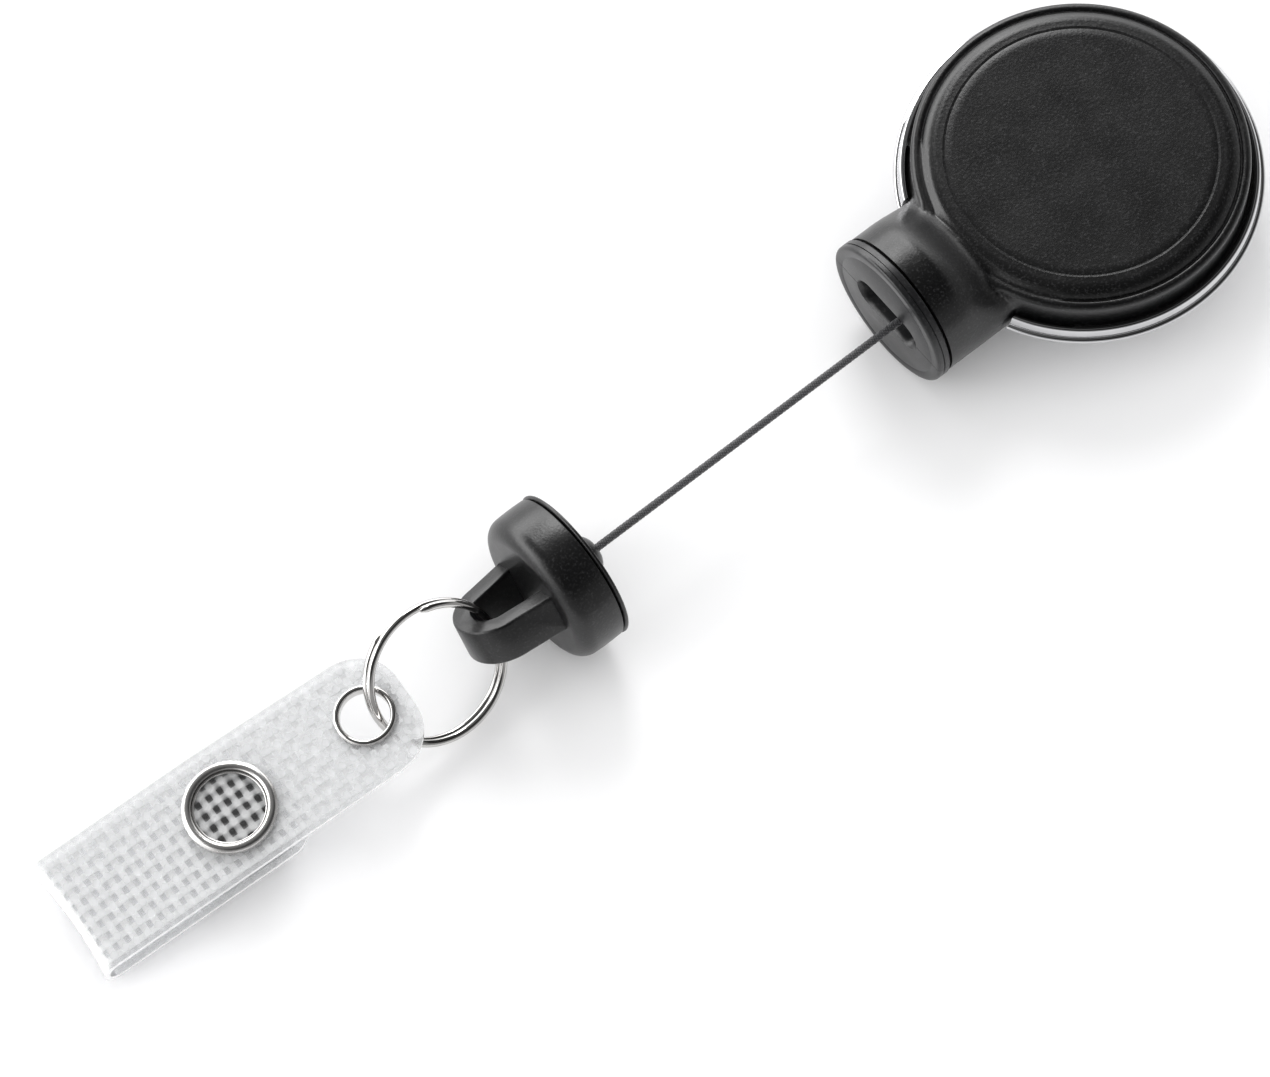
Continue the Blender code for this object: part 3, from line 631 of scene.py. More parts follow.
def dish_mesh():
    """The rolled bead and the dish's outside, then back along its inside."""
    edge = DISH_EDGE
    outer = arc(edge - 0.85, 8.55, 0.3, 175, 10, 10) + inwards(edge, (0.47, 8.2), (0.42, 7.95))
    outer += arc(edge - 0.36, 7.72, 0.07, 200, 260, 3) + arc(edge - 0.35, 7.3, 0.35, 78, -85, 12)
    outer += inwards(edge, (0.5, 6.93), (0.8, 6.8), (1.2, 6.35), (1.65, 5.7), (2.2, 5.0), (2.95, 4.2),
                     (3.8, 3.6), (4.7, 3.2), (5.7, DISH_FLOOR + 0.04), (7.0, DISH_FLOOR))
    outer += [(6.0, DISH_FLOOR), (1.3, DISH_FLOOR)]
    inner = [(1.3, 3.5)] + inwards(edge, (7.0, 3.5), (5.7, 3.6), (4.0, 4.1), (2.5, 5.4), (1.65, 6.7),
                                   (1.3, 7.6), (1.2, 8.3))
    ring = spun(outer + inner, 256, closed=True)
    turned = Matrix.Translation((NOTCH_MIDDLE, 0, NECK_AXIS_Z / MM)) @ Matrix.Rotation(math.pi / 2, 4, "Y")
    dish = boolean(ring, ("DIFFERENCE", mesh_of(round_bar(96, NOTCH_RADIUS, 10.0), turned)))
    dish.transform(Matrix.Translation((REEL.x, 0, 0)))
    dish.set_sharp_from_angle(angle=math.radians(50))
    return dish


def wipe_group():
    """Handling marks on bright metal: slow smudges and fine hairlines, as roughness and a tint mask."""
    group, given, end = group_of("handling_marks", {"Base": "Float", "Amount": "Float"},
                                 {"Roughness": "Float", "Smudge": "Float"})
    spot = add_node(group, "TexCoord").outputs["Object"]
    smudge = add_node(group, "TexNoise", {"Vector": spot, "Scale": 420, "Detail": 3}).outputs["Fac"]
    hairs = add_node(group, "TexNoise", {"Vector": spot, "Scale": 5200}).outputs["Fac"]
    both = math_node(group, "MULTIPLY_ADD", hairs, 0.35, smudge)
    rough = math_node(group, "MULTIPLY_ADD", both, given["Amount"], given["Base"])
    feed(group, end, {"Roughness": rough, "Smudge": smudge})
    return group


WIPE = wipe_group()


def metal_material(name, clean, marked, roughness, marks):
    """Bright metal with slight handling marks."""
    made, tree, shader = shader_nodes(name)
    wipe = placed_group(tree, WIPE, {"Base": roughness, "Amount": marks})
    feed(tree, shader, {"Base Color": colour_ramp(tree, wipe["Smudge"], (0.35, clean), (0.7, marked)),
                        "Roughness": wipe["Roughness"], "Metallic": 1.0})
    return made


chrome = metal_material("chrome_plate", (0.62, 0.62, 0.63), (0.57, 0.57, 0.58), 0.02, 0.04)
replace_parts(place("rear_dish_drawn", dish_mesh(), "housing", chrome), "rear_dish")


# ---- belt clip
# Spring-steel strip under the dish: a plate riveted through the dish's middle, a tight bend at its
# rear end, and a leaf with a hump and a lead-in lip that presses back towards the dish.

CLIP_SHEET = 0.8
CLIP_BEND = 13.0
CLIP_MOUNT_LINE = [(-6.0, 2.3), (0.0, 2.3), (6.0, 2.3)]
CLIP_LEAF_LINE = [(12.4, 0.4), (6.0, 0.4), (0.0, 0.4), (-3.0, 0.42), (-5.0, 0.62), (-6.5, 1.0), (-8.0, 1.5),
                  (-9.0, 1.72), (-9.8, 1.74), (-10.6, 1.6), (-11.4, 1.28), (-12.5, 0.85), (-13.6, 0.42)]


def verts_of(made):
    return [item for item in made["geom"] if isinstance(item, bmesh.types.BMVert)]


def plate_solid(outline, bottom, thickness):
    """A flat plate, extruded from its outline."""
    bm = bmesh.new()
    face = bm.faces.new([bm.verts.new((x, y, bottom)) for x, y in outline])
    made = bmesh.ops.extrude_face_region(bm, geom=[face])
    bmesh.ops.translate(bm, vec=(0, 0, thickness), verts=verts_of(made))
    bmesh.ops.recalc_face_normals(bm, faces=bm.faces)
    return bm


def plan_solid(tip, width):
    """Plan of a strip with a rounded tip, thick enough to trim the bent strip to."""
    half = width / 2
    outline = [(CLIP_BEND + 3, -half), (CLIP_BEND + 3, half)] + arc(tip + half, 0, half, 90, 270, 24)
    return plate_solid(outline, -5, 12)


def bent_strip(line, width, tip):
    """Sheet of the given width along a side view, trimmed to its plan, with its edges broken."""
    bm = bmesh.new()
    verts = [bm.verts.new((x, -width / 2 - 0.5, z)) for x, z in line]
    edges = [bm.edges.new(pair) for pair in zip(verts, verts[1:])]
    made = bmesh.ops.extrude_edge_only(bm, edges=edges)
    bmesh.ops.translate(bm, vec=(0, width + 1, 0), verts=verts_of(made))
    bmesh.ops.recalc_face_normals(bm, faces=bm.faces)
    bmesh.ops.solidify(bm, geom=bm.faces[:], thickness=CLIP_SHEET)
    top = sum(vert.co.z for vert in bm.verts) / len(bm.verts) - sum(z for _, z in line) / len(line)
    bmesh.ops.translate(bm, vec=(0, 0, -top), verts=bm.verts)
    bmesh.ops.recalc_face_normals(bm, faces=bm.faces)
    trimmed = boolean(mesh_of(bm), ("INTERSECT", mesh_of(plan_solid(tip, width))))
    bm = bmesh.new()
    bm.from_mesh(trimmed)
    bmesh.ops.remove_doubles(bm, verts=bm.verts, dist=1e-6)
    bmesh.ops.dissolve_limit(bm, angle_limit=0.01, verts=bm.verts, edges=bm.edges)
    corner = math.radians(60)
    rims = [edge for edge in bm.edges if len(edge.link_faces) == 2 and edge.calc_face_angle(0) > corner]
    bmesh.ops.bevel(bm, geom=rims, offset=0.12 * MM, affect="EDGES", segments=2, profile=0.5, material=-1,
                    clamp_overlap=True)
    bm.to_mesh(trimmed)
    bm.free()
    shade(trimmed, 35).transform(Matrix.Translation((REEL.x, 0, 0)))
    return trimmed


def rivet_mesh():
    profile = [(0, 5.6), (1.0, 5.6), (1.0, 1.6), (1.9, 1.6)] + arc(1.75, 1.45, 0.25, 40, -20, 4)
    profile += [(1.75, 1.22), (1.2, 1.08), (0, 1.02)]
    return spun(profile, 64, AT_REEL)


steel = metal_material("clip_steel", (0.50, 0.51, 0.53), (0.42, 0.43, 0.45), 0.22, 0.12)
mount_line = CLIP_MOUNT_LINE + arc(CLIP_BEND, 1.35, 0.95, 90, -90, 16) + [(12.7, 0.4)]
clip_shapes = [("clip_mount", bent_strip(mount_line, 9.0, -6.0), "housing"),
               ("clip_leaf", bent_strip(CLIP_LEAF_LINE, 8.0, -13.6), "clip_spring"),
               ("clip_rivet", rivet_mesh(), "housing")]
for node, shape, body in clip_shapes:
    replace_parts(place(node + "_pressed", shape, body, steel), node)


# ---- drum, spring and small inner pieces
# Inside the case an acetal drum with the wound cord turns on a fixed steel post, and a flat spiral
# spring in a cup under the drum winds the cord back. Two steel pins guide the cord into the duct.

acetal = plastic_material("acetal", (0.66, 0.66, 0.64), (0.74, 0.74, 0.72), 0.34, 0.0006, 0.00001)
bright_steel = metal_material("bright_steel", (0.62, 0.63, 0.65), (0.52, 0.53, 0.55), 0.16, 0.1)
blued_steel = metal_material("blued_spring", (0.30, 0.32, 0.36), (0.22, 0.23, 0.27), 0.2, 0.1)


def wound_material():
    """Turns of the same black braid, side by side round the drum."""
    made, tree, shader = shader_nodes("wound_braid")
    spot = add_node(tree, "TexCoord").outputs["Object"]
    turns = add_node(tree, "TexVoronoi", {"Vector": spot, "Scale": 3000}).outputs["Distance"]
    bump = add_node(tree, "Bump", {"Height": turns, "Distance": 0.00005})
    feed(tree, shader, {
        "Base Color": colour_ramp(tree, turns, (0.0, (0.05, 0.05, 0.055)), (0.8, (0.01, 0.01, 0.012))),
        "Roughness": 0.65, "Normal": bump.outputs["Normal"]})
    return made


def refinish(node, material):
    """Gives a carried-over node its finish."""
    nodes[node].data.materials.clear()
    nodes[node].data.materials.append(material)


inner_finishes = {"drum": acetal, "spring_cover": bright_steel, "cord_winding": wound_material(),
                  "arbor": bright_steel, "power_spring": blued_steel, "guide_pin_left": bright_steel,
                  "guide_pin_right": bright_steel}
for node, material in inner_finishes.items():
    refinish(node, material)


# ---- stopper
# Black moulded stopper on the cord's end: a round cap with a lid towards the reel, a domed boss
# round the cord, and a flat U-shaped eye that carries the split ring. It turns freely on the cord.

lid_low, lid_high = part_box("stopper_lid")
LID_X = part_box("stopper_body")[1].x / MM + 0.8
STOPPER_Y = (lid_low.y + lid_high.y) / 2 / MM
STOPPER_RADIUS = 8.2
STOPPER_LENGTH = 5.6
EYE_TIP = 13.85
EYE_THICKNESS = 4.2
EYE_AXIS = Vector(joints["ring_swing"]["axis"])
STOPPER_FRAME = (Matrix.Translation((LID_X, STOPPER_Y, NECK_AXIS_Z / MM))
                 @ Matrix.Rotation(-math.atan2(EYE_AXIS.y, EYE_AXIS.z), 4, "X"))
LID_TURN = STOPPER_FRAME @ Matrix.Rotation(math.pi / 2, 4, "Y")


def eye_solid():
    """The U of the eye, cut from a flat plate with its edges rounded."""
    root, tip = STOPPER_LENGTH - 0.8, EYE_TIP
    outline = [(root, 5.35)] + arc(tip - 4.5, 0, 4.5, 86, -86, 36) + [(root, -5.35), (root, -3.1)]
    outline += arc(tip - 4.3, 0, 2.3, -80, 80, 28) + [(root, 3.1)]
    bm = plate_solid([(-x, y) for x, y in outline], -EYE_THICKNESS / 2, EYE_THICKNESS)

    def on_rim(a, b):
        at_root = abs(a.x - b.x) < 1e-6 and abs(a.x + root) < 1e-6
        return abs(a.z - b.z) < 1e-6 and min(-a.x, -b.x) >= root - 1e-6 and not at_root

    rims = [edge for edge in bm.edges if on_rim(edge.verts[0].co, edge.verts[1].co)]
    bmesh.ops.bevel(bm, geom=rims, offset=0.3, affect="EDGES", segments=3, profile=0.5, material=-1,
                    clamp_overlap=True)
    return bm


def stopper_body_mesh():
    """The cap with its eye joined on, hollow round the crimped end of the cord."""
    back, radius = STOPPER_LENGTH, STOPPER_RADIUS - 0.1
    profile = [(0, -0.62), (radius - 0.2, -0.62)] + arc(radius - 0.15, -0.77, 0.15, 90, 0, 4)
    profile += [(radius + 0.04, -1.8), (radius + 0.04, -2.8), (radius, -back + 1.8)]
    profile += arc(radius - 1.8, -back + 1.8, 1.8, -4, -90, 16) + [(4.0, -back), (0, -back)]
    hollow = [(0, 0.5), (5.2, 0.5), (5.2, -4.0), (0, -4.0)]
    joined = boolean(spun(profile, 160, LID_TURN), ("UNION", mesh_of(eye_solid(), STOPPER_FRAME)),
                     ("DIFFERENCE", spun(hollow, 64, LID_TURN)))
    joined.set_sharp_from_angle(angle=math.radians(30))
    return joined


def stopper_lid_mesh():
    """The lid: a thin disc with a pale step under its edge, and the boss that the cord comes out of."""
    profile = [(0.5, 0.8), (0.5, 2.36)] + arc(0.75, 2.16, 0.22, 130, 60, 4)
    profile += [(1.25, 2.25), (1.62, 2.05), (1.98, 1.74), (2.28, 1.36), (2.52, 0.92), (2.7, 0.45)]
    profile += [(2.85, 0.15)] + arc(3.15, 0.3, 0.3, 200, 270, 4)
    profile += inwards(STOPPER_RADIUS, (0.9, 0.0), (0.2, -0.03))
    profile += arc(STOPPER_RADIUS - 0.2, -0.22, 0.19, 80, -70, 6)
    profile += inwards(STOPPER_RADIUS, (0.22, -0.46)) + [(0.5, -0.46)]
    return spun(profile, 160, LID_TURN, closed=True)


stopper_plastic = plastic_material("stopper_moulding", (0.003, 0.003, 0.0033), (0.02, 0.02, 0.021), 0.32,
                                   0.00024, 0.000022)
for name, shape, node in (("stopper_cap", stopper_body_mesh(), "stopper_body"),
                          ("stopper_lid_disc", stopper_lid_mesh(), "stopper_lid")):
    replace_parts(place(name, shape, "stopper", stopper_plastic), node)


# ---- split ring
# Two turns of round nickel-plated spring wire that lie side by side, wound so that a strap's eyelet
# can be worked in between them. It hangs in the stopper's eye.

RING_MIDDLE = Vector(joints["strap_swing"]["pos_m"]) / MM
RING_NORMAL = Vector(joints["strap_swing"]["axis"])
RING_RADIUS = 7.25
RING_WIRE = 0.4
RING_PITCH = 0.82
RING_TURNS = 2
RING_GAP = 0.08
RING_START = math.radians(112)


def wire_mesh(points, radius, sides=18):
    """A round wire along close points, with domed ends, from a swept curve."""
    curve = bpy.data.curves.new("wire", "CURVE")
    curve.dimensions = "3D"
    curve.bevel_depth = radius
    curve.bevel_resolution = sides // 4
    curve.use_fill_caps = True
    spline = curve.splines.new("POLY")
    spline.points.add(len(points) - 1)
    ends = (0.35, 0.75)
    for i, (point, co) in enumerate(zip(spline.points, points)):
        point.co = (*co, 1)
        from_end = min(i, len(points) - 1 - i)
        point.radius = ends[from_end] if from_end < len(ends) else 1.0
    helper = bpy.data.objects.new("wire", curve)
    scene.collection.objects.link(helper)
    bpy.context.view_layer.update()
    mesh = bpy.data.meshes.new_from_object(helper.evaluated_get(bpy.context.evaluated_depsgraph_get()))
    bpy.data.objects.remove(helper, do_unlink=True)
    bm = bmesh.new()
    bm.from_mesh(mesh)
    bmesh.ops.remove_doubles(bm, verts=bm.verts, dist=1e-5)
    bmesh.ops.recalc_face_normals(bm, faces=bm.faces)
    return bm


def split_ring_mesh():
    per_turn = 120
    points = []
    for i in range(int(per_turn * (RING_TURNS - RING_GAP))):
        angle = math.tau * i / per_turn + RING_START
        lift = RING_PITCH * (i / per_turn - RING_TURNS / 2)
        points.append((RING_RADIUS * math.cos(angle), RING_RADIUS * math.sin(angle), lift))
    sideways = Vector((1, 0, 0))
    turned = Matrix((sideways, RING_NORMAL.cross(sideways), RING_NORMAL)).transposed().to_4x4()
    return mesh_of(wire_mesh(points, RING_WIRE), Matrix.Translation(RING_MIDDLE) @ turned)


nickel = metal_material("nickel_plate", (0.62, 0.61, 0.60), (0.55, 0.54, 0.53), 0.05, 0.05)
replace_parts(place("split_ring_wire", split_ring_mesh(), "ring", nickel), "split_ring")
refinish("cord_knot", nickel)


# ---- strap
# One strip of clear vinyl with a woven white core, folded back on itself: rounded at the eyelet end
# and at the tail's corners, its edges sealed clear. The fold bends between the strap and the tail.

STRAP_WIDTH = 13.3
STRAP_SHEET = 0.55
STRAP_END = -4.7
FOLD_X = 33.5
FOLD_RADIUS = 1.4
TAIL_START = FOLD_X + math.pi * FOLD_RADIUS
STRIP_FINISH = TAIL_START + FOLD_X - 10.2
FRONT_CORNER = 4.8
BACK_CORNER = 3.0
CLEAR_EDGE = 0.75
TAIL_RISE = 0.1
FOLD_PINCH = 0.45
NARROWING = 0.07
SNAP_X = 15.9
SNAP_INSIDE = 3.6
BULGE = 0.22
HINGE_BACK = 0.15
WARP_PITCH = 1.42
WEFT_PITCH = 1.3
WARP_HALF_WIDTH = 0.3
WEFT_HALF_WIDTH = 0.34
YARN_HALF_THICKNESS = 0.045
YARN_WAVE = 0.07
STRAP_SLOPE = math.radians(-7)

strap_side = Vector(joints["tail_open"]["axis"])
strap_turn = Matrix.Rotation(math.atan2(-strap_side.x, strap_side.y), 4, "Z")
strap_turn = strap_turn @ Matrix.Rotation(STRAP_SLOPE, 4, "Y")
hinge_local = Vector((-(FOLD_X - HINGE_BACK), 0, -2 * FOLD_RADIUS - STRAP_SHEET / 2))
eyelet_middle = Vector(joints["tail_open"]["pos_m"]) / MM - strap_turn @ hinge_local
STRAP_FRAME = Matrix.Translation(eyelet_middle) @ strap_turn


def bent(along, across, rise):
    """Where a point of the flat strip lies once it is folded, in the strap's frame."""
    if along < SNAP_X and across > 0:
        across *= 1 - NARROWING * min((SNAP_X - along) / 18, 1.0)
    if along <= FOLD_X:
        return Vector((-along, across, rise))
    if along <= TAIL_START:
        angle = (along - FOLD_X) / FOLD_RADIUS
        reach = FOLD_RADIUS + rise
        pinch = FOLD_PINCH * math.sin(angle) * (1 - (2 * across / STRAP_WIDTH) ** 2)
        rise = -FOLD_RADIUS + reach * math.cos(angle)
        return Vector((pinch - FOLD_X - reach * math.sin(angle), across, rise))
    run = along - TAIL_START
    return Vector((-FOLD_X + run, across, -2 * FOLD_RADIUS + TAIL_RISE * min(run / 12, 1.0) - rise))


def snap_bulge(along, across):
    """The sheet stands up a little inside the snap's ring, where the socket presses from below."""
    away = math.hypot(along - SNAP_X, across)
    return BULGE * max(0.0, 1 - (away / SNAP_INSIDE) ** 4)


def strip_outline():
    """Plan of the flat strip: round at both ends."""
    half, front, back, end = STRAP_WIDTH / 2, FRONT_CORNER, BACK_CORNER, STRIP_FINISH
    outline = arc(STRAP_END + front, half - front, front, 90, 180, 18)
    outline += arc(STRAP_END + front, -half + front, front, 180, 270, 18)
    outline += arc(end - back, -half + back, back, 270, 360, 12)
    return outline + arc(end - back, half - back, back, 0, 90, 12)


def cut_lines(bm, places, direction):
    """Cuts a flat mesh into strips, so that it can bend."""
    for place_at in places:
        geometry = bm.verts[:] + bm.edges[:] + bm.faces[:]
        bmesh.ops.bisect_plane(bm, geom=geometry, plane_co=direction * place_at, plane_no=direction)


def strap_sheet_mesh():
    """The flat strip with its eyelet hole, cut into strips, mapped, thickened and folded."""
    bm = bmesh.new()
    outer = [bm.verts.new((x, y, 0)) for x, y in strip_outline()]
    hole = [bm.verts.new((x, y, 0)) for x, y in arc(0, 0, 2.75, 0, 360, 48)[:-1]]
    edges = []
    for loop in (outer, hole):
        edges += [bm.edges.new((a, b)) for a, b in zip(loop, loop[1:] + loop[:1])]
    bmesh.ops.triangle_fill(bm, use_beauty=True, use_dissolve=False, edges=edges)
    stations = [STRAP_END + 0.8 * i for i in range(1, 47)]
    stations += [FOLD_X + math.pi * FOLD_RADIUS * i / 16 for i in range(17)]
    stations += [TAIL_START + 0.9 * i for i in range(1, 25)]
    cut_lines(bm, stations, Vector((1, 0, 0)))
    cut_lines(bm, [STRAP_WIDTH * (i / 14 - 0.5) for i in range(1, 14)], Vector((0, 1, 0)))
    bmesh.ops.remove_doubles(bm, verts=bm.verts, dist=1e-4)
    for face in bm.faces:
        if face.normal.z < 0:
            face.normal_flip()
    uv = bm.loops.layers.uv.new("UVMap")
    for face in bm.faces:
        for loop in face.loops:
            loop[uv].uv = (loop.vert.co.x * MM, loop.vert.co.y * MM)
    made = bmesh.ops.extrude_face_region(bm, geom=bm.faces[:])
    bmesh.ops.translate(bm, vec=(0, 0, STRAP_SHEET / 2), verts=verts_of(made))
    lowered = [vert for vert in bm.verts if vert.co.z < 1e-6]
    bmesh.ops.translate(bm, vec=(0, 0, -STRAP_SHEET / 2), verts=lowered)
    bmesh.ops.recalc_face_normals(bm, faces=bm.faces)
    for vert in bm.verts:
        along, across, rise = vert.co
        vert.co = bent(along, across, rise + snap_bulge(along, across))
    return mesh_of(bm, STRAP_FRAME, sharp=50)


def weave_mesh():
    """White threads inside the sheet: flat ribbons that pass over and under each other."""
    bm = bmesh.new()
    half, first, last = STRAP_WIDTH / 2 - CLEAR_EDGE, STRAP_END + 0.9, STRIP_FINISH - 0.9

    def inside(along, across):
        if math.hypot(along, across) < 3.05:
            return False
        for end, radius, sign in ((STRAP_END, FRONT_CORNER, -1), (STRIP_FINISH, BACK_CORNER, 1)):
            middle = end - sign * radius
            if (along - middle) * sign > 0:
                dy = max(abs(across) - (STRAP_WIDTH / 2 - radius), 0.0)
                if math.hypot(along - middle, dy) > radius - CLEAR_EDGE:
                    return False
        return True

    def crossing(k):
        return YARN_WAVE * math.sin(math.pi * k)

    def ribbon(path, wide, lengthwise):
        flat, previous = YARN_HALF_THICKNESS, None
        for along, across, rise in path:
            if not inside(along, across):
                previous = None
                continue
            spread = ((0, wide), (0, -wide)) if lengthwise else ((wide, 0), (-wide, 0))
            corners = [(spread[0], flat), (spread[0], -flat), (spread[1], -flat), (spread[1], flat)]
            ring = [bm.verts.new(bent(along + dx, across + dy, rise + dz + snap_bulge(along, across)))
                    for (dx, dy), dz in corners]
            if previous:
                for i in range(4):
                    j = (i + 1) % 4
                    bm.faces.new((previous[i], previous[j], ring[j], ring[i]))
            previous = ring

    columns = int(2 * half / WARP_PITCH)
    for i in range(columns + 1):
        across = (i - columns / 2) * WARP_PITCH
        count = int((last - first) / (WEFT_PITCH / 2))
        path = [(first + k * WEFT_PITCH / 2, across, crossing(k / 2 + i)) for k in range(count)]
        ribbon(path, WARP_HALF_WIDTH, True)
    rows = int((last - first) / WEFT_PITCH)
    for k in range(rows):
        along = first + (k + 0.5) * WEFT_PITCH
        count = int(2 * half / (WARP_PITCH / 2)) + 1
        path = [(along, -half + j * WARP_PITCH / 2, crossing(j / 2 + k)) for j in range(count)]
        ribbon(path, WEFT_HALF_WIDTH, False)
    bmesh.ops.holes_fill(bm, edges=[edge for edge in bm.edges if edge.is_boundary], sides=4)
    bmesh.ops.recalc_face_normals(bm, faces=bm.faces)
    return mesh_of(bm, STRAP_FRAME, sharp=80)


def let_light_through(tree, shader, share):
    """Lightens the shadow that a translucent material throws."""
    clear = add_node(tree, "BsdfTransparent", {"Color": (0.95, 0.95, 0.955, 1)})
    is_shadow = add_node(tree, "LightPath").outputs["Is Shadow Ray"]
    passing = math_node(tree, "MULTIPLY", is_shadow, share)
    mix = add_node(tree, "MixShader", {0: passing, 1: shader.outputs[0], 2: clear.outputs[0]})
    feed(tree, tree.nodes["Material Output"], {"Surface": mix.outputs[0]})


def vinyl_material():
    """Clear soft vinyl: slightly milky, with the weave's relief in its surface. Inside the snap's ring its
    colour
    is painted dark between the threads: painted shade, for the socket that lies in shade beneath it."""
    made, tree, shader = shader_nodes("clear_vinyl_sheet")
    along, across = map_parts(tree)
    weft = math_node(tree, "SUBTRACT", along, (STRAP_END + 0.9) * MM)
    weft = math_node(tree, "COSINE", math_node(tree, "MULTIPLY", weft, math.tau / (WEFT_PITCH * MM)))
    warp = math_node(tree, "COSINE", math_node(tree, "MULTIPLY", across, -math.tau / (WARP_PITCH * MM)))
    relief = math_node(tree, "MULTIPLY_ADD", math_node(tree, "SUBTRACT", warp, weft), 0.25, 0.5)
    spot = add_node(tree, "TexCoord").outputs["Object"]
    haze = add_node(tree, "TexNoise", {"Vector": spot, "Scale": 900}).outputs["Fac"]
    height = math_node(tree, "MULTIPLY_ADD", haze, 0.5, relief)
    bump = add_node(tree, "Bump", {"Height": height, "Strength": 0.35, "Distance": 0.00012})
    cloudy = math_node(tree, "MULTIPLY_ADD", haze, 0.3, math_node(tree, "SUBTRACT", relief, 0.15))
    open_vinyl = colour_ramp(tree, cloudy, (0.1, (0.725, 0.73, 0.735)), (0.5, (0.78, 0.785, 0.79)),
                             (0.9, (0.82, 0.825, 0.83)))
    # Inside the snap's ring the vinyl's colour is painted dark: painted shade over the socket.
    shaded_vinyl_in_snap = colour_ramp(tree, cloudy, (0.2, (0.1, 0.1, 0.1)), (0.5, (0.45, 0.45, 0.45)),
                                (0.75, (0.75, 0.75, 0.75)))
    from_snap = math_node(tree, "SUBTRACT", along, SNAP_X * MM)
    from_snap = math_node(tree, "MULTIPLY", from_snap, from_snap)
    from_snap = math_node(tree, "MULTIPLY_ADD", across, across, from_snap)
    inside_snap = math_node(tree, "LESS_THAN", from_snap, ((SNAP_INSIDE + 0.1) * MM) ** 2)
    tint = add_node(tree, "Mix")
    tint.data_type = "RGBA"
    feed(tree, tint, {0: inside_snap, 6: open_vinyl, 7: shaded_vinyl_in_snap})
    feed(tree, shader, {"Base Color": tint.outputs[2], "Normal": bump.outputs["Normal"], "IOR": 1.38,
                        "Roughness": math_node(tree, "MULTIPLY_ADD", haze, 0.1, 0.12),
                        "Transmission Weight": 0.72})
    let_light_through(tree, shader, 0.98)
    return made


def thread_material():
    """White polyester yarn seen inside the vinyl."""
    made, tree, shader = shader_nodes("white_yarn")
    spot = add_node(tree, "TexCoord").outputs["Object"]
    fibre = add_node(tree, "TexNoise", {"Vector": spot, "Scale": 6000}).outputs["Fac"]
    yarn = colour_ramp(tree, fibre, (0.3, (0.70, 0.705, 0.71)), (0.7, (0.84, 0.845, 0.85)))
    feed(tree, shader, {"Base Color": yarn, "Roughness": 0.6})
    let_light_through(tree, shader, 0.88)
    return made


sheet = place("strap_sheet", strap_sheet_mesh(), None, vinyl_material())
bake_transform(sheet)
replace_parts(sheet, "strap_front", "strap_tail")
weave = place("strap_weave", weave_mesh(), None, thread_material())
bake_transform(weave)


# ---- eyelet
# Nickel-plated eyelet pressed through the strap: a rolled rim above and a spread flange beneath, so
# that the split ring doesn't tear the vinyl.


EYELET_RADIUS = 2.5


def eyelet_mesh():
    """The rolled rim on top, the barrel's outside, and the spread flange beneath."""
    inner = EYELET_RADIUS
    profile = [(inner, 0.3)] + arc(inner + 0.32, 0.45, 0.31, 170, -10, 12)
    profile += [(inner + 0.62, 0.30), (inner + 0.16, 0.28), (inner + 0.16, -0.29), (3.15, -0.31)]
    profile += arc(3.15, -0.42, 0.11, 60, -90, 5)
    profile += [(inner + 0.2, -0.60), (inner + 0.05, -0.5), (inner, -0.3)]
    return spun(profile, 96, STRAP_FRAME, closed=True)


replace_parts(place("eyelet_pressed", eyelet_mesh(), "strap", nickel), "eyelet")


# ---- ring snap
# Nickel-plated ring snap: an open ring on top of the strap holds the socket beneath it, and a second
# ring under the tail holds the stud, which clicks into the socket.

SNAP_RADIUS = 4.75


def snap_frame(height):
    return STRAP_FRAME @ Matrix.Translation((-SNAP_X, 0, height))


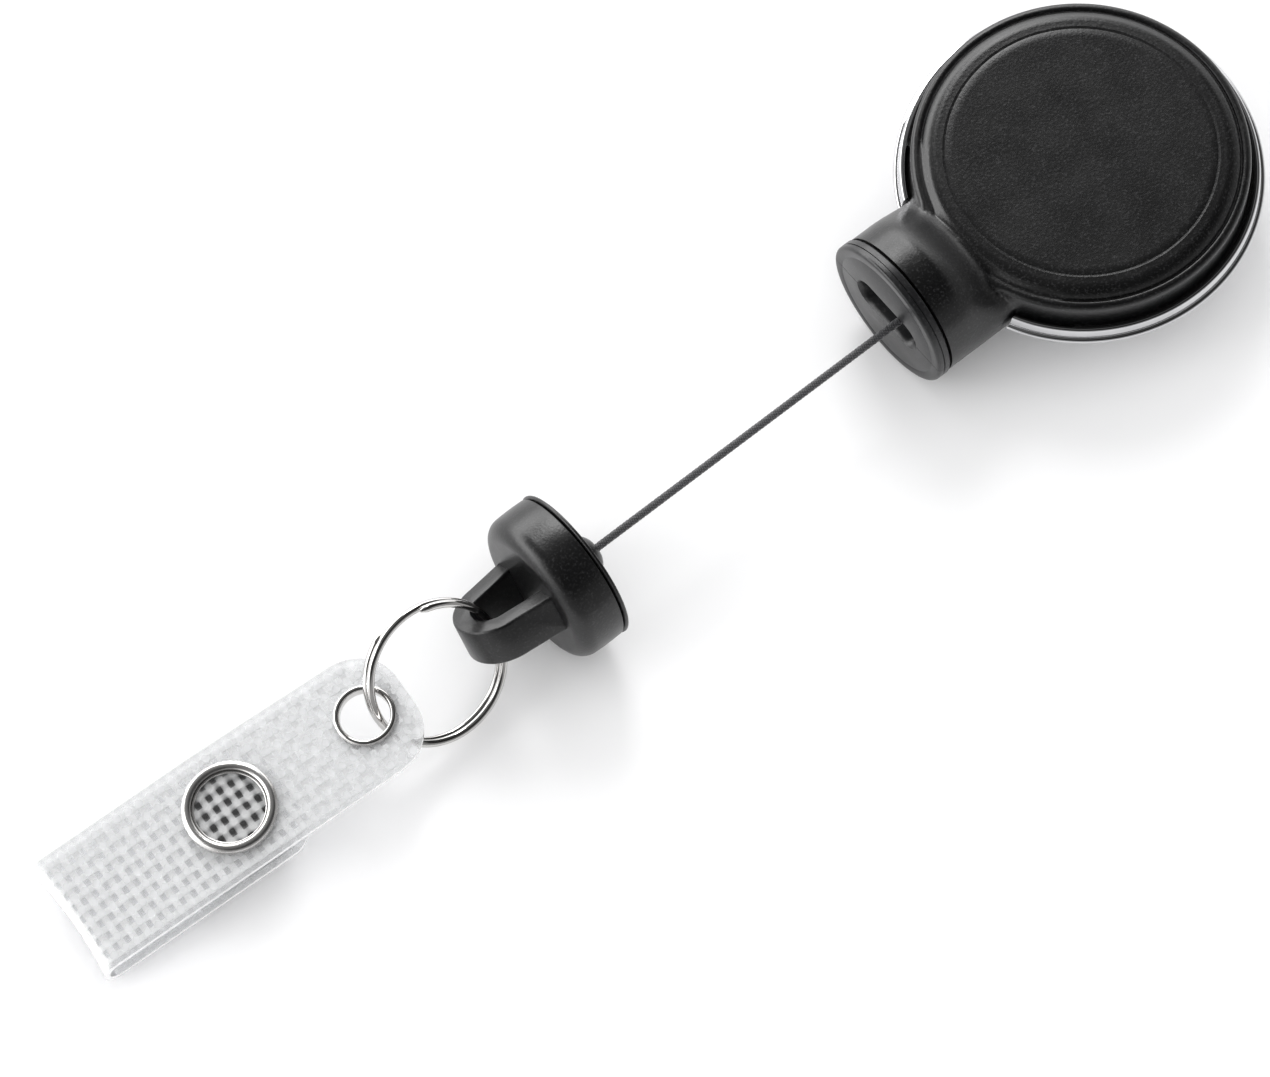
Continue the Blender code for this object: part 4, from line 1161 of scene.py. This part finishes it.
def cap_ring_profile():
    """Rolled open ring, round on top with a small bead inside."""
    profile = [(3.55, 0.02), (3.5, 0.16)] + arc(3.66, 0.22, 0.14, 170, 60, 5) + [(3.78, 0.24)]
    return profile + arc(4.2, 0.24, 0.56, 135, 0, 16) + [(SNAP_RADIUS, 0.12), (SNAP_RADIUS - 0.12, 0.0)]


def socket_profile():
    """A flat rim against the strap and a cup beneath it, open downwards for the stud."""
    profile = [(0, -0.3), (2.6, -0.3), (3.0, -0.02), (3.1, 0), (4.1, 0)] + arc(4.1, -0.16, 0.16, 80, -60, 5)
    profile += [(3.9, -0.42), (3.35, -0.5), (3.32, -0.8)] + arc(3.12, -0.98, 0.18, 0, -90, 5)
    return profile + [(2.45, -1.16), (2.3, -1.1), (2.22, -0.9), (2.28, -0.6), (2.1, -0.5), (0, -0.5)]


def stud_profile():
    """A domed stud with a narrow neck on a flat rim."""
    profile = [(0, 0.92), (0.9, 0.9)] + arc(1.45, 0.6, 0.3, 85, -30, 6)
    profile += [(1.55, 0.36), (1.62, 0.27), (2.8, 0.22), (3.4, 0.2), (4.05, 0.2)]
    return profile + arc(4.05, 0.1, 0.1, 80, -60, 4) + [(4.0, 0.0), (0, 0.0)]


# The socket's nickel is painted dark: painted shade, for the socket that sits in shade under the strap and
# the cap ring.
shaded_nickel = metal_material("shaded_nickel", (0.13, 0.13, 0.13), (0.08, 0.08, 0.08), 0.25, 0.1)
tail_z = -2 * FOLD_RADIUS + TAIL_RISE
half_sheet = STRAP_SHEET / 2
turned_over = Matrix.Rotation(math.pi, 4, "X")
under_tail = snap_frame(tail_z - half_sheet - 0.02) @ turned_over
snap_pieces = [("snap_cap_ring", cap_ring_profile(), True, snap_frame(half_sheet + 0.02), "strap"),
               ("snap_socket", socket_profile(), False, snap_frame(-half_sheet - 0.25), "strap"),
               ("snap_stud", stud_profile(), False, snap_frame(tail_z + half_sheet + 0.1), "tail"),
               ("snap_back_ring", cap_ring_profile(), True, under_tail, "tail")]
satin_nickel = metal_material("satin_nickel", (0.66, 0.65, 0.64), (0.58, 0.57, 0.56), 0.2, 0.08)
for node, profile, closed, where, body in snap_pieces:
    finish = shaded_nickel if node == "snap_socket" else satin_nickel
    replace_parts(place(node + "_pressed", spun(profile, 96, where, closed), body, finish), node)
